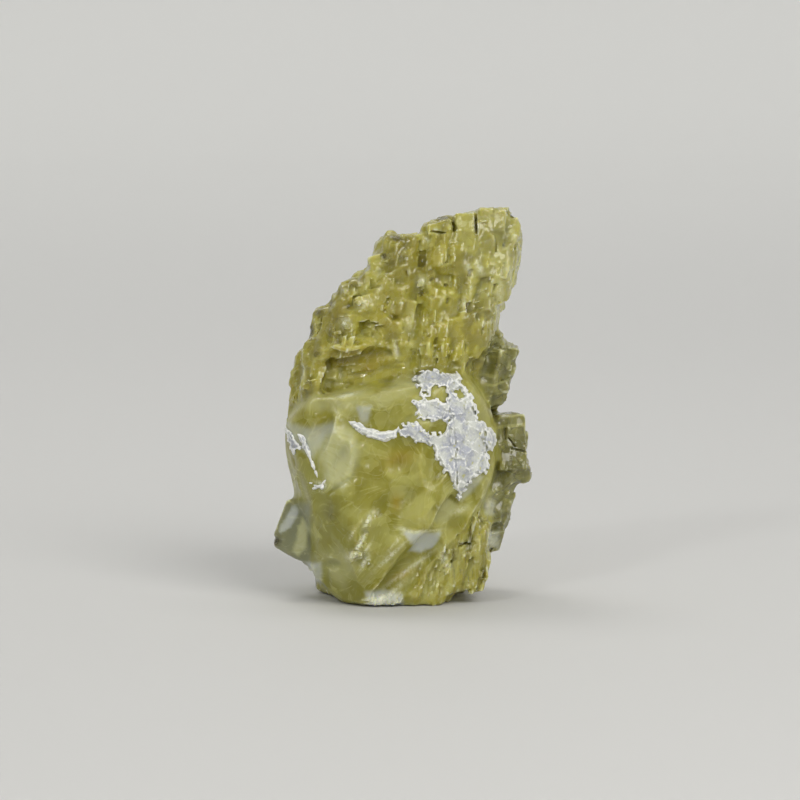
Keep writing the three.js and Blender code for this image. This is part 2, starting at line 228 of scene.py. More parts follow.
class Field:
    """Distances to a skin on a cubic grid, negative inside, in millimetres."""

    def __init__(self, values, low, step):
        self.values, self.low, self.step = values, np.array(low, float), step

    @classmethod
    def of_skin(cls, points, triangles, step):
        """The field of a closed skin, true to the distance BAND and flat beyond it."""
        grid = openvdb.FloatGrid.createLevelSetFromPolygons(
            points.astype(np.float32),
            triangles=triangles.astype(np.uint32),
            transform=openvdb.createLinearTransform(step),
            halfWidth=BAND / step,
        )
        low, high = np.array(grid.evalActiveVoxelBoundingBox())
        low, high = low - 2, high + 3
        values = np.empty(tuple(high - low), np.float32)
        grid.copyToArray(values, ijk=tuple(int(i) for i in low))
        return cls(values, low * step, step)

    def window(self, centre, reach):
        """The part of the grid within reach of a centre, as slices, and its x, y and z."""
        shape = self.values.shape
        first = np.floor((centre - reach - self.low) / self.step).astype(int)
        last = np.ceil((centre + reach - self.low) / self.step).astype(int) + 1
        first, last = np.clip(first, 0, shape), np.clip(last, 0, shape)
        slices = tuple(slice(a, b) for a, b in zip(first, last))
        x, y, z = (self.low[k] + self.step * np.arange(first[k], last[k]) for k in range(3))
        return slices, x[:, None, None], y[None, :, None], z[None, None, :]

    def merge(self, slices, away, take):
        """Joins a body to the stone, where the lesser of the two distances is kept, or takes it
        away, where the greater of the stone's own and the body's turned inside out is."""
        part = self.values[slices]
        if take:
            np.maximum(part, -away, out=part)
        else:
            np.minimum(part, away, out=part)

    def block(self, centre, planes, halves, take=False):
        """Joins a rhomb to the stone, or takes it away: its distance is the greatest of its
        three |n . (p - centre)| - half."""
        slices, x, y, z = self.window(centre, np.linalg.norm(halves) * RHOMB_REACH + self.step)
        x, y, z = x - centre[0], y - centre[1], z - centre[2]
        slabs = [np.abs(nx * x + ny * y + nz * z) - half for (nx, ny, nz), half in zip(planes, halves)]
        self.merge(slices, functools.reduce(np.maximum, slabs), take)

    def ellipsoid(self, centre, radii, axes, around, reach, take):
        """Joins an ellipsoid to the stone within reach of a place, or takes it away, which leaves
        a shell-shaped hollow: its distance is taken as (|q| - 1) times its least radius, where q
        is p - centre along its axes, over its radii."""
        slices, x, y, z = self.window(around, reach)
        x, y, z = x - centre[0], y - centre[1], z - centre[2]
        q = [(ax * x + ay * y + az * z) / radius for (ax, ay, az), radius in zip(axes, radii)]
        self.merge(slices, (np.sqrt(q[0] ** 2 + q[1] ** 2 + q[2] ** 2) - 1) * min(radii), take)

    def near(self, limit):
        """Where the grid lies within a limit of the skin: the indices and the points."""
        index = np.nonzero(np.abs(self.values) < limit)
        return index, np.stack([self.low[k] + self.step * index[k] for k in range(3)], axis=1)

    def blurred(self, radius, passes=2):
        """The field with each value replaced by the mean of those within a radius along x, y
        and z in turn, several times over, which is close to a bell-shaped blur."""
        reach = max(1, round(radius / self.step))
        values = self.values
        for _ in range(passes):
            for axis in range(3):
                sides = [(reach + 1, reach) if a == axis else (0, 0) for a in range(3)]
                padded = np.pad(values, sides, "edge")
                total = np.cumsum(padded, axis=axis, dtype=np.float64)
                size = values.shape[axis]
                upper = np.take(total, range(2 * reach + 1, 2 * reach + 1 + size), axis=axis)
                lower = np.take(total, range(size), axis=axis)
                values = ((upper - lower) / (2 * reach + 1)).astype(np.float32)
        return Field(values, self.low, self.step)

    def at(self, points):
        """The field at any points, blended between the eight nearest grid points."""
        place = (points - self.low) / self.step
        cell = np.clip(np.floor(place).astype(int), 0, np.array(self.values.shape) - 2)
        t = np.clip(place - cell, 0, 1)
        total = np.zeros(len(points))
        for corner in CORNERS:
            weight = np.prod(np.where(corner, t, 1 - t), axis=1)
            total += weight * self.values[tuple((cell + corner).T)]
        return total

    def slope(self, points):
        """The way the field rises fastest at each point: which way its skin faces there."""
        rise = [self.at(points + way) - self.at(points - way) for way in np.eye(3) * self.step]
        rise = np.stack(rise, axis=1)
        return rise / np.maximum(np.linalg.norm(rise, axis=1, keepdims=True), 1e-9)

    def offset(self, reach):
        """The field of the skin moved out by a reach, or in where it is negative, and true again
        on both sides. Out and back fills narrow gaps; in and back takes thin fins off."""
        points, triangles, quads = self.skin(level=reach)
        halves = np.concatenate([triangles, quads[:, [0, 1, 2]], quads[:, [0, 2, 3]]])
        return Field.of_skin(points, halves, self.step)

    def skin(self, level=0.0, every=False):
        """The skin where the field is at a level, as points and faces of three or four corners,
        without any loose crumb or sealed gap: corners that share a face belong to one skin, and
        the largest is kept, or every one with LEAST_CORNERS."""
        grid = openvdb.FloatGrid(float(self.values.max()))
        grid.transform = openvdb.createLinearTransform(self.step)
        low = tuple(int(round(v)) for v in self.low / self.step)
        grid.copyFromArray(self.values, ijk=low)
        grid.gridClass = "level set"
        points, triangles, quads = grid.convertToPolygons(level, 0.0)
        points = points.astype(float)
        triangles, quads = triangles.astype(np.int64), quads.astype(np.int64)
        # The lowest corner number reachable from each corner names its skin.
        pairs = [faces[:, [k, k + 1]] for faces in (triangles, quads) for k in range(faces.shape[1] - 1)]
        a, b = np.concatenate(pairs).T
        leader = np.arange(len(points))
        while True:
            lower = np.minimum(leader[a], leader[b])
            found = leader.copy()
            np.minimum.at(found, a, lower)
            np.minimum.at(found, b, lower)
            np.minimum.at(found, leader, found)
            found = found[found]
            if (found == leader).all():
                break
            leader = found
        sizes = np.bincount(leader)
        kept = sizes >= (LEAST_CORNERS if every else sizes.max())
        triangles, quads = (faces[kept[leader[faces[:, 0]]]] for faces in (triangles, quads))
        used = np.zeros(len(points), bool)
        used[triangles] = True
        used[quads] = True
        renumber = np.cumsum(used) - 1
        # The corners come in clockwise order, so they are turned round for faces that point out.
        return points[used], renumber[triangles][:, ::-1], renumber[quads][:, ::-1]


MERGED = 1e-7  # corners nearer than this are one, in metres


def packed_skin():
    """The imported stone's skin in millimetres: its corners, merged, and its triangles."""
    joined = bmesh.new()
    joined.from_mesh(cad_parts[NODE].data)
    bmesh.ops.remove_doubles(joined, verts=joined.verts, dist=MERGED)
    points = np.array([v.co[:] for v in joined.verts]) / MM
    triangles = np.array([[v.index for v in f.verts] for f in joined.faces])
    joined.free()
    return points, triangles


NO_QUADS = np.empty((0, 4), int)


def mesh_of(name, points, triangles, quads=NO_QUADS):
    """A mesh from corners in millimetres and faces of three and four corners."""
    mesh = bpy.data.meshes.new(name)
    mesh.vertices.add(len(points))
    mesh.vertices.foreach_set("co", (points * MM).astype(np.float32).ravel())
    sides = np.concatenate([np.full(len(triangles), 3), np.full(len(quads), 4)])
    corners = np.concatenate([triangles.ravel(), quads.ravel()])
    mesh.loops.add(len(corners))
    mesh.loops.foreach_set("vertex_index", corners.astype(np.int32))
    mesh.polygons.add(len(sides))
    mesh.polygons.foreach_set("loop_start", (np.cumsum(sides) - sides).astype(np.int32))
    mesh.update(calc_edges=True)
    mesh.validate()
    return mesh


def corners_of(mesh):
    """A mesh's corners in millimetres."""
    points = np.empty(len(mesh.vertices) * 3, np.float32)
    mesh.vertices.foreach_get("co", points)
    return points.reshape(-1, 3).astype(float) / MM


def smooth_but_creased(mesh, angle):
    """Shades a mesh smooth except where its faces meet at more than an angle."""
    mesh.polygons.foreach_set("use_smooth", np.ones(len(mesh.polygons), bool))
    mesh.set_sharp_from_angle(angle=angle)


def write_mask(mesh, name, values):
    """Stores one number for each corner under a name that a material can read."""
    held = mesh.attributes.new(name, "FLOAT", "POINT")
    held.data.foreach_set("value", np.clip(values, 0, 1).astype(np.float32))


def place_piece(name, skin, masks, finish, crease, replaced=()):
    """Puts a skin, given as its points and faces, in the scene as a piece of the stone that
    rides on its body, with its masks and its finish, in place of the bodies it stands for."""
    mesh = mesh_of(name, *skin)
    smooth_but_creased(mesh, crease)
    for mask, values in masks.items():
        write_mask(mesh, mask, values)
    mesh.materials.append(finish)
    piece = bpy.data.objects.new(name, mesh)
    bpy.context.scene.collection.objects.link(piece)
    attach(piece, "root")
    if replaced:
        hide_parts(*replaced)


# ---------------------------------------------------------------------------------------------
# The stone


class Makeup:
    """Which crystal each part of the skin belongs to, on a cubic grid of cells."""

    cell = 1.0  # the width of a cell, in millimetres
    margin = 3.0  # how far the grid reaches past the stone
    spots = 150000  # random spots that mark the cells they fall in
    fillings = 5  # how often empty cells take a neighbour's kind
    square = 0.99999  # the least cosine between a face and its crystal's cleavage direction

    def __init__(self, points, triangles, random):
        """Faces square to one of a crystal's cleavage directions within a few hundredths of a
        degree are that crystal's, and the rest are broken. Cells that hold a random spot of a
        face take its kind, and empty cells take a neighbour's, several times over."""
        a, b, c = (points[triangles[:, k]] for k in range(3))
        facing = np.cross(b - a, c - a)
        area = np.linalg.norm(facing, axis=1)
        facing /= np.maximum(area, 1e-12)[:, None]
        kind = np.full(len(triangles), KINDS.index(BROKEN))
        for name, crystal in CRYSTALS.items():
            planes = cleavage_planes(cleavage_edges(crystal["turn"]))
            kind[np.abs(facing @ planes.T).max(axis=1) > self.square] = KINDS.index(name)
        rows = random.choice(len(triangles), self.spots, p=area / area.sum())
        u, v = random.random((2, len(rows), 1))
        u, v = np.where(u + v > 1, 1 - u, u), np.where(u + v > 1, 1 - v, v)
        spots = a[rows] + u * (b - a)[rows] + v * (c - a)[rows]
        self.low = points.min(axis=0) - self.margin
        across = np.ptp(points, axis=0) + 2 * self.margin
        self.kinds = np.full(np.ceil(across / self.cell).astype(int), -1)
        self.kinds[tuple(self.cell_of(spots).T)] = kind[rows]
        for _ in range(self.fillings):
            for axis in range(3):
                for way in (1, -1):
                    beside = np.roll(self.kinds, way, axis)
                    self.kinds = np.where(self.kinds < 0, beside, self.kinds)

    def cell_of(self, points):
        """The cell of the grid that each point lies in."""
        return ((points - self.low) / self.cell).astype(int)

    def at(self, points):
        """The number in KINDS of what each point belongs to."""
        cells = np.clip(self.cell_of(points), 0, np.array(self.kinds.shape) - 1)
        return self.kinds[tuple(cells.T)]


BLOCK_TIP = 0.08  # how much a block's face leans to the skin, as a rise over a run


def jumbled_blocks(points, kinds):
    """How far the skin stands out at each point, in millimetres, and a tone from 0 to 1: both
    change from one cleavage block to the next. A block is a straight cell of its crystal's
    lattice; its face stands at one height and leans a little, as a height plus a slope times
    the way from its middle."""
    height, tone = np.zeros(len(points)), np.full(len(points), 0.5)
    for number, crystal in enumerate(CRYSTALS.values()):
        rows = np.nonzero(kinds == number)[0]
        sizes = np.array(crystal["blocks"])
        planes = cleavage_planes(cleavage_edges(crystal["turn"]))
        lattice = points[rows] @ planes.T / sizes
        block, way, _ = scattered_cells(lattice, 1.0, 71 + number, straight=True)
        random = np.random.default_rng(81 + number)
        lifts, tones = random.random((2, CELLS**3))
        slopes = random.normal(0, BLOCK_TIP, (CELLS**3, 3))
        height[rows] = crystal["lift"] * (2 * lifts[block] - 1) + (slopes[block] * way * sizes).sum(axis=1)
        tone[rows] = tones[block]
    return height, tone


# Small steps: how far a corner of a block may hang off the skin in millimetres, how much a block
# strays from its lattice in radians, and the share that is cut out rather than put on.
STEPS = {
    "coarse": {"hanging": 0.8, "tilt": 0.06, "taken": 0.0},
    "fine": {"hanging": 0.3, "tilt": 0.035, "taken": 0.1},
}
LEAST_FACING = 0.78  # the least cosine between the skin and the side of a block that stands on it
MOSTLY_SMALL = 1.5  # the power of a random number from 0 to 1 that makes small ones commoner
CM2 = 100  # a square centimetre, in square millimetres


def grow_steps(field, makeup, size, random):
    """Stands small cleavage blocks on the skin, and cuts some out of it. Each is in line with its
    crystal's lattice to within a few degrees and lies where the skin faces much the same way as
    one of its sides; one that stands has no corner of that side hanging in the air."""
    points, _, _ = field.skin()
    kinds = makeup.at(points)
    out = field.slope(points)
    step = STEPS[size]
    ways = np.array(list(itertools.product((-1, 1), repeat=3)))
    for name, crystal in CRYSTALS.items():
        edges = cleavage_edges(crystal["turn"])
        planes = cleavage_planes(edges)
        ranges = np.array(crystal[size]["halves"])
        least, most = crystal[size]["relief"]
        own = np.nonzero(kinds == KINDS.index(name))[0]
        count = int(len(own) * field.step**2 / CM2 * crystal[size]["per_cm2"])
        rows = random.choice(own, count)
        halves = ranges[:, 0] + np.ptp(ranges, axis=1) * random.random((count, 3)) ** MOSTLY_SMALL
        reliefs = least + (most - least) * random.random(count) ** MOSTLY_SMALL
        takes = random.random(count) < step["taken"]
        tilted = planes + random.normal(0, step["tilt"], (count, 3, 3))
        tilted /= np.linalg.norm(tilted, axis=2, keepdims=True)
        along = out[rows] @ planes.T
        each = np.arange(count)
        sides = np.abs(along).argmax(axis=1)
        along = along[each, sides]
        reach = halves[:, :, None] * edges
        reach[each, sides] = 0
        corners = points[rows][:, None] + np.einsum("wk,nkx->nwx", ways, reach)
        hanging = field.at(corners.reshape(-1, 3)).reshape(count, -1).max(axis=1) > step["hanging"]
        depths = (halves[each, sides] - reliefs) * np.where(takes, 1, -1)
        centres = points[rows] + planes[sides] * (np.sign(along) * depths)[:, None]
        for row in np.nonzero((np.abs(along) > LEAST_FACING) & (takes | ~hanging))[0]:
            field.block(centres[row], tilted[row], halves[row], takes[row])


SEARCH = np.arange(-30, 30, 0.2)  # how far beyond the middle the skin is looked for


def front_spots(field, places):
    """The spot on the skin met first from the front at each place, and the way it faces."""
    eye, right, up, forward = eye_axes()
    drawn = np.atleast_2d(places) - DRAWN_MIDDLE
    lines = drawn[:, :1] * right + drawn[:, 1:] * up + EYE["true_at"] * forward
    lines /= np.linalg.norm(lines, axis=1, keepdims=True)
    far = EYE["away"] + SEARCH
    along = eye + lines[:, None] * far[:, None]
    inside = field.at(along.reshape(-1, 3)).reshape(len(lines), -1) < 0
    spots = along[np.arange(len(lines)), inside.argmax(axis=1)]
    return spots, field.slope(spots)


def leaning_axes(facing, lean):
    """Three square directions on a face: along a line that leans up to the right by so many
    degrees, across it, and out of the face."""
    lean = np.radians(lean)
    along = np.array([np.cos(lean), 0, np.sin(lean)])
    along -= facing * (along @ facing)
    along /= np.linalg.norm(along)
    return np.array([along, np.cross(facing, along), facing])


SHELL_RADIUS = 12  # the radius of a shell-shaped hollow across its floor, in depths
SHELL_REACH = (1.6, 3.0)  # how far it is cut: so many half-lengths, and so many millimetres more


def break_shell(field, place, halves, lean, depth, tip):
    """A shell-shaped hollow: an ellipsoid sunk so deep at a place that its rim there is as long
    and wide as asked, then tipped about its length by so many degrees, so that one long side is
    steep and the other fades out."""
    (spot,), (facing,) = front_spots(field, place)
    along, across, out = leaning_axes(facing, lean)
    tip = np.radians(tip)
    across, out = across * np.cos(tip) + out * np.sin(tip), out * np.cos(tip) - across * np.sin(tip)
    deep = SHELL_RADIUS * depth
    widening = np.sqrt(1 - (1 - depth / deep) ** 2)
    radii = (halves[0] / widening, halves[1] / widening, deep)
    reach = SHELL_REACH[0] * max(halves) + SHELL_REACH[1]
    field.ellipsoid(spot + out * (deep - depth), radii, (along, across, out), spot, reach, take=True)


FACET_REACH = 2.0  # how far a block reaches into the stone, or its cut out of it, in millimetres


def break_facet(field, place, halves, lean, height, tip, roll):
    """A flat-topped block that stands so high at a place, or where its height is below 0 a flat-
    floored step so deep. Its top tips about its length and rolls about its width by so many
    degrees."""
    (spot,), (facing,) = front_spots(field, place)
    along, across, out = leaning_axes(facing, lean)
    tip, roll = np.tan(np.radians([tip, roll]))
    top = out + across * tip + along * roll
    top /= np.linalg.norm(top)
    side = along - top * (along @ top)
    side /= np.linalg.norm(side)
    planes = np.array([side, np.cross(top, side), top])
    reach = FACET_REACH if height < 0 else -FACET_REACH
    field.block(spot + top * (reach + height), planes, (*halves, FACET_REACH), take=height < 0)


def raise_dome(field, place, halves, lean, height):
    """A rounded lump that stands so high at a place: an ellipsoid as thick as it is wide."""
    (spot,), (facing,) = front_spots(field, place)
    axes = leaning_axes(facing, lean)
    radii = (*halves, halves[1])
    centre = spot + axes[2] * (height - radii[2])
    field.ellipsoid(centre, radii, axes, centre, max(radii) + 1, take=False)


# The tiny blocks of a bruise: how much they stray from the lattice in radians, the least and the
# most of their half-widths, and of how far they stand proud, in millimetres.
BRUISE = {"tilt": 0.14, "halves": (0.2, 0.7), "relief": (0.02, 0.12)}


def bruise(field, place, radii, lean, count, random):
    """A patch of tiny tilted cleavage blocks that catch the light."""
    planes = cleavage_planes(cleavage_edges(CRYSTALS["upper"]["turn"]))
    turn, reach = random.uniform(0, 2 * np.pi, count), np.sqrt(random.random(count))
    lean = np.radians(lean)
    along, across = radii[0] * reach * np.cos(turn), radii[1] * reach * np.sin(turn)
    right = along * np.cos(lean) - across * np.sin(lean)
    up = along * np.sin(lean) + across * np.cos(lean)
    for spot, facing in zip(*front_spots(field, place + np.stack([right, up], axis=1))):
        tilted = planes + random.normal(0, BRUISE["tilt"], (3, 3))
        tilted /= np.linalg.norm(tilted, axis=1, keepdims=True)
        halves = random.uniform(*BRUISE["halves"], 3)
        side = np.abs(tilted @ facing).argmax()
        out = tilted[side] * np.sign(tilted[side] @ facing)
        field.block(spot + out * (random.uniform(*BRUISE["relief"]) - halves[side]), tilted, halves)


# Shell-shaped breaks in the broad face: place, half-length and half-width, lean, depth and tip.
SHELLS = (
    ((-2.0, 24.0), (11.0, 6.5), 62, 0.75, 2),
    ((6.0, 29.0), (8.0, 4.5), 40, 0.75, -4),
    ((-12.5, 30.0), (6.4, 4.4), 86, 0.75, 6),
    ((-6.0, 37.0), (9.0, 3.0), 6, 0.75, 6),
    ((-15.5, 19.5), (6.4, 3.4), 66, 0.75, -6),
    ((-6.0, 14.0), (8.0, 4.0), 58, 0.9, 5),
    ((8.4, 19.4), (5.4, 2.4), 38, 0.9, 8),
    ((-12.0, 9.0), (6.0, 3.0), 118, 0.75, 6),
    ((1.5, 9.4), (9.4, 3.0), 44, 1.35, 10),
    ((-2.0, 5.6), (8.0, 1.8), 46, 1.05, 10),
    ((-5.0, 2.6), (6.0, 1.3), 40, 0.75, 10),
    ((10.4, 24.0), (4.0, 5.5), 20, 0.6, -5),
    ((0.5, 33.0), (6.0, 2.4), -12, 0.52, 6),
    ((-1.0, 17.6), (5.0, 2.6), 74, 0.6, -7),
    ((-14.6, 40.2), (6.6, 2.4), 8, 0.6, 6),
    ((3.0, 43.4), (5.4, 2.0), 26, 0.6, 6),
    ((3.6, 63.0), (5.0, 1.2), 82, 0.6, 12),
)
# Flat tops and floors: place, half-length and half-width, lean, height (below 0 for a floor), tip
# and roll.
FACETS = (
    # pale facets low on the right of the broad face
    ((8.8, 19.6), (3.2, 1.5), 40, -0.30, 8, -3),
    ((6.0, 18.0), (2.4, 0.9), 40, -0.25, -7, 4),
    ((4.6, 13.0), (3.8, 2.2), 22, 0.35, -6, -2),
    ((2.4, 16.0), (2.6, 0.5), 28, -0.30, 10, 2),
    ((-6.6, 17.2), (3.2, 0.9), 64, -0.22, 8, 3),
    ((-8.0, 12.6), (3.0, 0.8), 64, -0.25, 9, 3),
    # the edges of the creamy lens, and breaks beside it
    ((-8.9, 30.0), (4.4, 0.7), 96, -0.30, 9, 2),
    ((-12.4, 24.4), (3.0, 0.6), 30, -0.25, -9, 0),
    ((-17.2, 30.6), (4.0, 0.8), 104, -0.25, -8, 0),
    # blocks of the summit
    ((7.6, 75.8), (2.4, 1.2), 10, 0.45, 6, -4),
    ((12.8, 76.8), (1.9, 2.3), 0, 0.50, 3, -4),
    ((18.3, 77.5), (2.9, 2.3), -4, 0.55, -4, -3),
    # large faces of the upper crystal, right of the valley
    ((11.8, 70.4), (1.8, 2.2), 0, 0.35, 4, -5),
    ((9.0, 65.1), (1.5, 1.7), 86, -0.40, 0, 4),
    ((19.6, 68.5), (2.2, 2.8), -8, 0.45, 2, -8),
    ((19.0, 63.1), (1.9, 3.0), -6, 0.40, -3, -6),
    ((16.4, 60.5), (1.8, 1.4), 0, 0.35, 5, 3),
    ((7.4, 60.2), (1.9, 2.0), 0, 0.35, -5, 5),
    ((11.0, 55.4), (4.6, 2.5), 14, 0.75, -8, 4),
    # and left of it
    ((-0.6, 66.0), (2.7, 1.9), 30, 0.50, -7, 3),
    ((-4.4, 69.2), (2.1, 1.5), 20, 0.45, 6, 3),
    ((-6.7, 60.8), (2.3, 1.7), 14, 0.55, 9, -4),
    ((-10.4, 64.8), (1.7, 1.3), 42, 0.45, -4, -5),
    ((-13.4, 61.2), (1.5, 1.3), 46, 0.40, 5, -5),
    ((1.0, 58.5), (1.9, 3.1), -8, 0.50, 0, -6),
    ((-7.7, 57.6), (4.8, 1.0), 4, 0.35, 8, 0),
    ((-9.2, 55.0), (3.5, 1.6), 2, -0.35, -5, 2),
    ((-7.7, 52.2), (5.2, 0.5), 2, 0.55, -6, 0),
    ((-11.0, 60.2), (3.6, 0.5), 52, -0.60, 6, 0),
    ((-12.8, 55.6), (2.6, 0.6), 60, -0.50, 8, 0),
    # flat faces of the crystals behind
    ((22.4, 33.0), (5.8, 3.0), 88, 0.45, 0, 0),
    ((20.0, 47.0), (4.6, 1.9), 70, 0.40, 0, 3),
    ((18.6, 19.8), (3.0, 1.8), 88, 0.40, 0, 4),
    ((19.0, 13.2), (2.4, 1.7), 90, 0.40, 4, 0),
    # the splinters at the left of the foot
    ((-22.8, 17.4), (4.2, 1.5), 62, 0.5, -20, 0),
    ((-20.0, 14.4), (4.0, 1.9), 98, 0.6, 16, 0),
    ((-17.2, 7.2), (1.6, 1.0), 60, 0.35, 10, -5),
    ((-16.0, 5.4), (1.4, 0.8), 30, 0.25, -8, 5),
    # the closed left end of the hollow
    ((-13.8, 47.2), (1.8, 1.3), 82, 0.9, 0, 6),
    ((-12.0, 49.2), (1.9, 0.9), 8, 0.8, 4, 0),
    ((-15.0, 44.8), (1.6, 1.0), 70, 0.6, 3, 3),
    # the row of teeth over the ledge
    *(
        ((4.2 + 1.4 * k, 51.6 - 0.15 * k), (1.2 + 0.3 * (k % 2), 0.42), 90 - 3 * (k % 3), 0.5, 0, 4)
        for k in range(6)
    ),
    ((-1.4, 51.8), (1.8, 0.4), 98, 0.5, 0, 3),
    ((0.2, 51.8), (1.7, 0.4), 88, 0.5, 0, -3),
)
# Narrow dark gaps, cut last: place, half-length and half-width, lean and depth.
SLOTS = (
    ((10.4, 77.0), (2.0, 0.28), 92, 1.3),
    ((15.1, 77.0), (2.2, 0.28), 90, 1.3),
    ((21.7, 78.8), (1.5, 0.26), 100, 1.2),
    ((7.4, 75.0), (1.7, 0.2), -10, 0.7),
    ((-16.4, 55.2), (3.0, 0.3), 84, 0.6),
    # in the ribbed foot and the plate behind it
    ((13.9, 14.6), (2.2, 0.2), 88, 0.8),
    ((12.8, 12.6), (1.7, 0.2), 6, 0.8),
    ((10.4, 10.0), (1.4, 0.2), 80, 0.7),
    ((16.6, 6.8), (1.7, 0.2), 88, 0.7),
    ((21.0, 34.6), (1.3, 0.18), 84, 0.5),
    ((23.6, 31.4), (1.7, 0.18), -12, 0.5),
    ((22.2, 33.0), (1.4, 0.18), -50, 0.5),
)
# Rounded lumps: place, half-length and half-width, lean and height.
DOMES = (
    ((-1.4, 73.4), (2.6, 2.0), 6, 0.9),
    ((1.8, 73.2), (2.0, 1.9), -8, 0.7),
    ((-10.8, 56.8), (1.2, 1.1), 0, 0.35),
    ((4.2, 65.0), (1.1, 0.9), 60, 0.35),
    ((-24.9, 12.8), (1.6, 1.1), 40, 0.4),
)
# Bruised patches that sparkle: place, half-widths, lean and how many tiny blocks.
BRUISES = (
    ((-6.4, 17.4), (1.6, 0.6), 62, 10),
    ((-8.1, 12.7), (2.2, 0.8), 62, 26),
    ((-9.4, 10.2), (1.4, 0.8), 20, 14),
    ((-7.2, 9.0), (1.6, 0.6), 60, 10),
    ((-3.2, 1.6), (4.2, 1.0), 10, 50),
    ((8.6, 9.6), (3.0, 1.2), 84, 26),
    ((-15.6, 24.4), (1.8, 0.8), 30, 16),
    ((-11.1, 56.9), (1.3, 1.2), 0, 14),
    ((-7.1, 60.7), (2.0, 1.2), 20, 16),
    ((4.2, 65.1), (1.0, 1.2), 0, 12),
    ((5.1, 73.4), (0.6, 0.6), 0, 4),
    ((-11.1, 63.2), (0.7, 0.6), 0, 5),
    ((-12.4, 54.2), (0.6, 1.6), 0, 8),
    ((14.6, 3.6), (2.0, 1.2), 10, 16),
)


# Small shell-shaped scars all over the broken face: how many, then the least and the most of
# their places, half-lengths, half-widths, leans, depths and tips.
SCARS = {
    "count": 44,
    "across": (-21.0, 16.0),
    "up": (3.0, 45.0),
    "length": (1.3, 4.4),
    "width": (0.6, 1.6),
    "lean": (25.0, 90.0),
    "depth": (0.12, 0.32),
    "tip": (-16.0, 16.0),
}


def scar_broken_face(field, makeup, random):
    """Small shell-shaped hollows at random places of the broken face."""
    draws = {name: random.uniform(*ends, SCARS["count"]) for name, ends in SCARS.items() if name != "count"}
    places = np.stack([draws["across"], draws["up"]], axis=1)
    spots, _ = front_spots(field, places)
    for row in np.nonzero(makeup.at(spots) == KINDS.index(BROKEN))[0]:
        length, width, lean, depth, tip = (draws[name][row] for name in list(SCARS)[3:])
        break_shell(field, places[row], (length, width), lean, depth, tip)


STEP_LOWERING = 0.45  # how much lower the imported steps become, as a share of their height
BROKEN_EDGE = 3.0  # how wide the change is from the broken crystal to the stepped ones
# Swells of the broken face, each a cloud: its height, its size and its seed.
SWELLS = ((0.30, 9.0, 21), (0.10, 3.2, 22))


def soften(field, makeup, broken_radius, stepped_radius):
    """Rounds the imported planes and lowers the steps: near its skin the field is its blurred self,
    blurred broadly on the broken crystal, the more the further from any other, and a mix of a
    broad and a slight blur on the stepped ones. Swells are added to the broken crystal."""
    index, places = field.near(NEAR)
    broken = blend_nearby(places, makeup.at(places) == KINDS.index(BROKEN), BROKEN_EDGE)
    share = smoothstep(0.6, 1.0, broken)
    wide, narrow = (field.blurred(radius).values[index] for radius in (broken_radius, stepped_radius))
    field.values[index] = narrow + np.maximum(share, STEP_LOWERING) * (wide - narrow)
    field.values[index] += share * sum(swell(places, *shape) for shape in SWELLS)


EDGE_ROUNDING = 0.05  # the radius of the rounding of the large features, in millimetres
SKIN_GRAIN = (0.04, 2.0, 31)  # the unevenness of the whole skin: its height, size and seed
SKIN_REACH = 1.2  # how far from the skin the field is made uneven
STEP_SEED = 7
SCAR_SEED = 41


@functools.cache
def stone_field(grain, healing, paring, softening, step_softening, growth):
    """The whole stone's field, with its small steps and chips, and its makeup. It is worked out
    once, for the stone and for the crust on it."""
    points, triangles = packed_skin()
    random = np.random.default_rng(STEP_SEED)
    makeup = Makeup(points, triangles, random)
    field = Field.of_skin(points, triangles, grain)
    field = field.offset(healing).offset(-healing - paring).offset(paring)
    soften(field, makeup, softening, step_softening)
    index, places = field.near(NEAR)
    height, _ = jumbled_blocks(places, makeup.at(places))
    field.values[index] -= height
    field = field.offset(0.0)
    bare = field.values.copy()
    grow_steps(field, makeup, "coarse", random)
    field.values = np.maximum(field.values, bare - growth)
    for features, make in ((SHELLS, break_shell), (FACETS, break_facet), (DOMES, raise_dome)):
        for feature in features:
            make(field, *feature)
    scar_broken_face(field, makeup, np.random.default_rng(SCAR_SEED))
    field = field.offset(EDGE_ROUNDING).offset(-2 * EDGE_ROUNDING).offset(EDGE_ROUNDING)
    for place, halves, lean, depth in SLOTS:
        break_facet(field, place, halves, lean, -depth, 0, 0)
    grow_steps(field, makeup, "fine", random)
    for feature in BRUISES:
        bruise(field, *feature, random)
    index, places = field.near(SKIN_REACH)
    field.values[index] += swell(places, *SKIN_GRAIN)
    # The foot is broken off flat.
    level = field.low[2] + field.step * np.arange(field.values.shape[2])
    field.values = np.maximum(field.values, -level)
    return field, makeup


def thin_out(points, triangles, quads, most):
    """A skin with as few triangles as asked, as its corners and triangles."""
    mesh = mesh_of("thin", points, triangles, quads)
    holder = bpy.data.objects.new("thin", mesh)
    bpy.context.scene.collection.objects.link(holder)
    thin = holder.modifiers.new("thin", "DECIMATE")
    thin.ratio = min(1, most / (len(triangles) + 2 * len(quads)))
    thin.use_collapse_triangulate = True
    thinned = bpy.data.meshes.new_from_object(holder.evaluated_get(bpy.context.evaluated_depsgraph_get()))
    corners = np.empty(len(thinned.loops), np.int32)
    thinned.loops.foreach_get("vertex_index", corners)
    points = corners_of(thinned)
    bpy.data.objects.remove(holder)
    bpy.data.meshes.remove(mesh)
    bpy.data.meshes.remove(thinned)
    return points, corners.reshape(-1, 3).astype(int)


